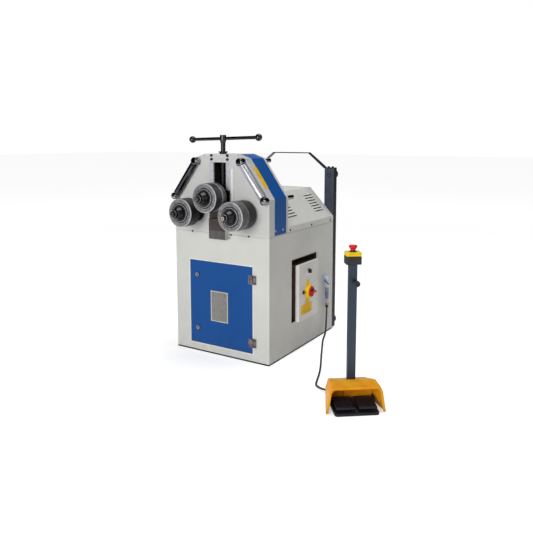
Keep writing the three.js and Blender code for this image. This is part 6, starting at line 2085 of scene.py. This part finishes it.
# Emergency stop
# A black box with a yellow lid screwed on it, and a red mushroom button on a
# black collar. The button is pressed down to stop the machine.
estop_collar_bend = 0.0006
estop_screw_height = 0.0012
estop_screw_radius = 0.0030
mushroom_bend = 0.0025
estop_low = node_box("estop_box")[0]
estop_seam = 0.6983
estop_lid_top = 0.7173
estop_body_spans = ((-0.0318, 0.1292), (0.0398, 0.1828))
estop_lid_spans = ((-0.0312, 0.1298), (0.0392, 0.1822))
estop_centre = (0.004, 0.156)
estop_screw_offset = (0.0285, 0.0200)
estop_edges = (0.004, 0.005)
estop_lap = 0.0015
estop_collar_radius = 0.0172
estop_stem_radius = 0.0109
mushroom_height = 0.022
mushroom_radius = 0.0200
estop_black = plain_finish("estop_black", (26, 26, 28), (38, 38, 40), (0.3, 0.45), 70.0, shine=0.4)
estop_yellow = plain_finish("estop_yellow", (250, 216, 26), (242, 202, 20), (0.35, 0.5), 40.0, shine=0.2)
mushroom_red = plain_finish("mushroom_red", (232, 24, 40), (214, 18, 32), (0.3, 0.42), 45.0, shine=0.3)


def station_slab(name, low, high, width, material, slot, *nodes, steps=4):
    """A rounded block whose corners are given in the station's own frame."""
    places, faces = slab(low, high)
    return bevelled(
        piece(name, (at_station(places), faces), material, "machine", slot, *nodes), width, steps
    )


station_slab(
    "estop_body", (*estop_body_spans[0], estop_low[2]), (*estop_body_spans[1], estop_seam), estop_edges[0],
    estop_black, "black_plastic", "estop_box"
)
station_slab(
    "estop_lid", (*estop_lid_spans[0], estop_seam - estop_lap), (*estop_lid_spans[1], estop_lid_top),
    estop_edges[1], estop_yellow, "yellow_plastic"
)
estop_axis = tuple(at_station([(*estop_centre, 0.0)])[0])
collar_profile = [
    (0.0, estop_lid_top - 0.001), (estop_collar_radius, estop_lid_top - 0.001),
    (estop_collar_radius, estop_lid_top + 0.0018), (0.0150, estop_lid_top + 0.0029),
    (0.0, estop_lid_top + 0.0029)
]
turned_piece(
    "estop_collar", collar_profile, estop_collar_bend, estop_axis, estop_black, "machine", "black_plastic",
    axis=(0, 0, 1)
)
button_low, button_high = node_box("estop_button")
head_foot = button_high[2] - mushroom_height
mushroom_profile = [
    (0.0, head_foot), (0.0130, head_foot), (0.0136, head_foot + 0.005), (0.0197, head_foot + 0.0135),
    (mushroom_radius, head_foot + 0.0170), (0.0172, button_high[2] - 0.0008), (0.0090, button_high[2]),
    (0.0, button_high[2])
]
turned_piece(
    "estop_mushroom", mushroom_profile, mushroom_bend, estop_axis, mushroom_red, "estop_button",
    "red_plastic", "estop_button", steps=4, axis=(0, 0, 1)
)
stem_profile = [
    (0.0, button_low[2]), (estop_stem_radius, button_low[2]), (estop_stem_radius, head_foot + 0.001),
    (0.0, head_foot + 0.001)
]
piece(
    "estop_stem", turned(stem_profile, estop_axis, (0, 0, 1), sides=40), estop_black, "estop_button",
    "black_plastic"
)
estop_screw_places = [
    (
        estop_centre[0] + side * estop_screw_offset[0], estop_centre[1] + rear * estop_screw_offset[1],
        estop_lid_top
    )
    for side in (-1, 1) for rear in (-1, 1)
]
estop_screws = at_station(estop_screw_places)
socket_screws(
    "estop_screws", estop_screws, (0, 0, 1), estop_screw_radius, estop_screw_height, screw_zinc, "machine",
    "bright_steel"
)
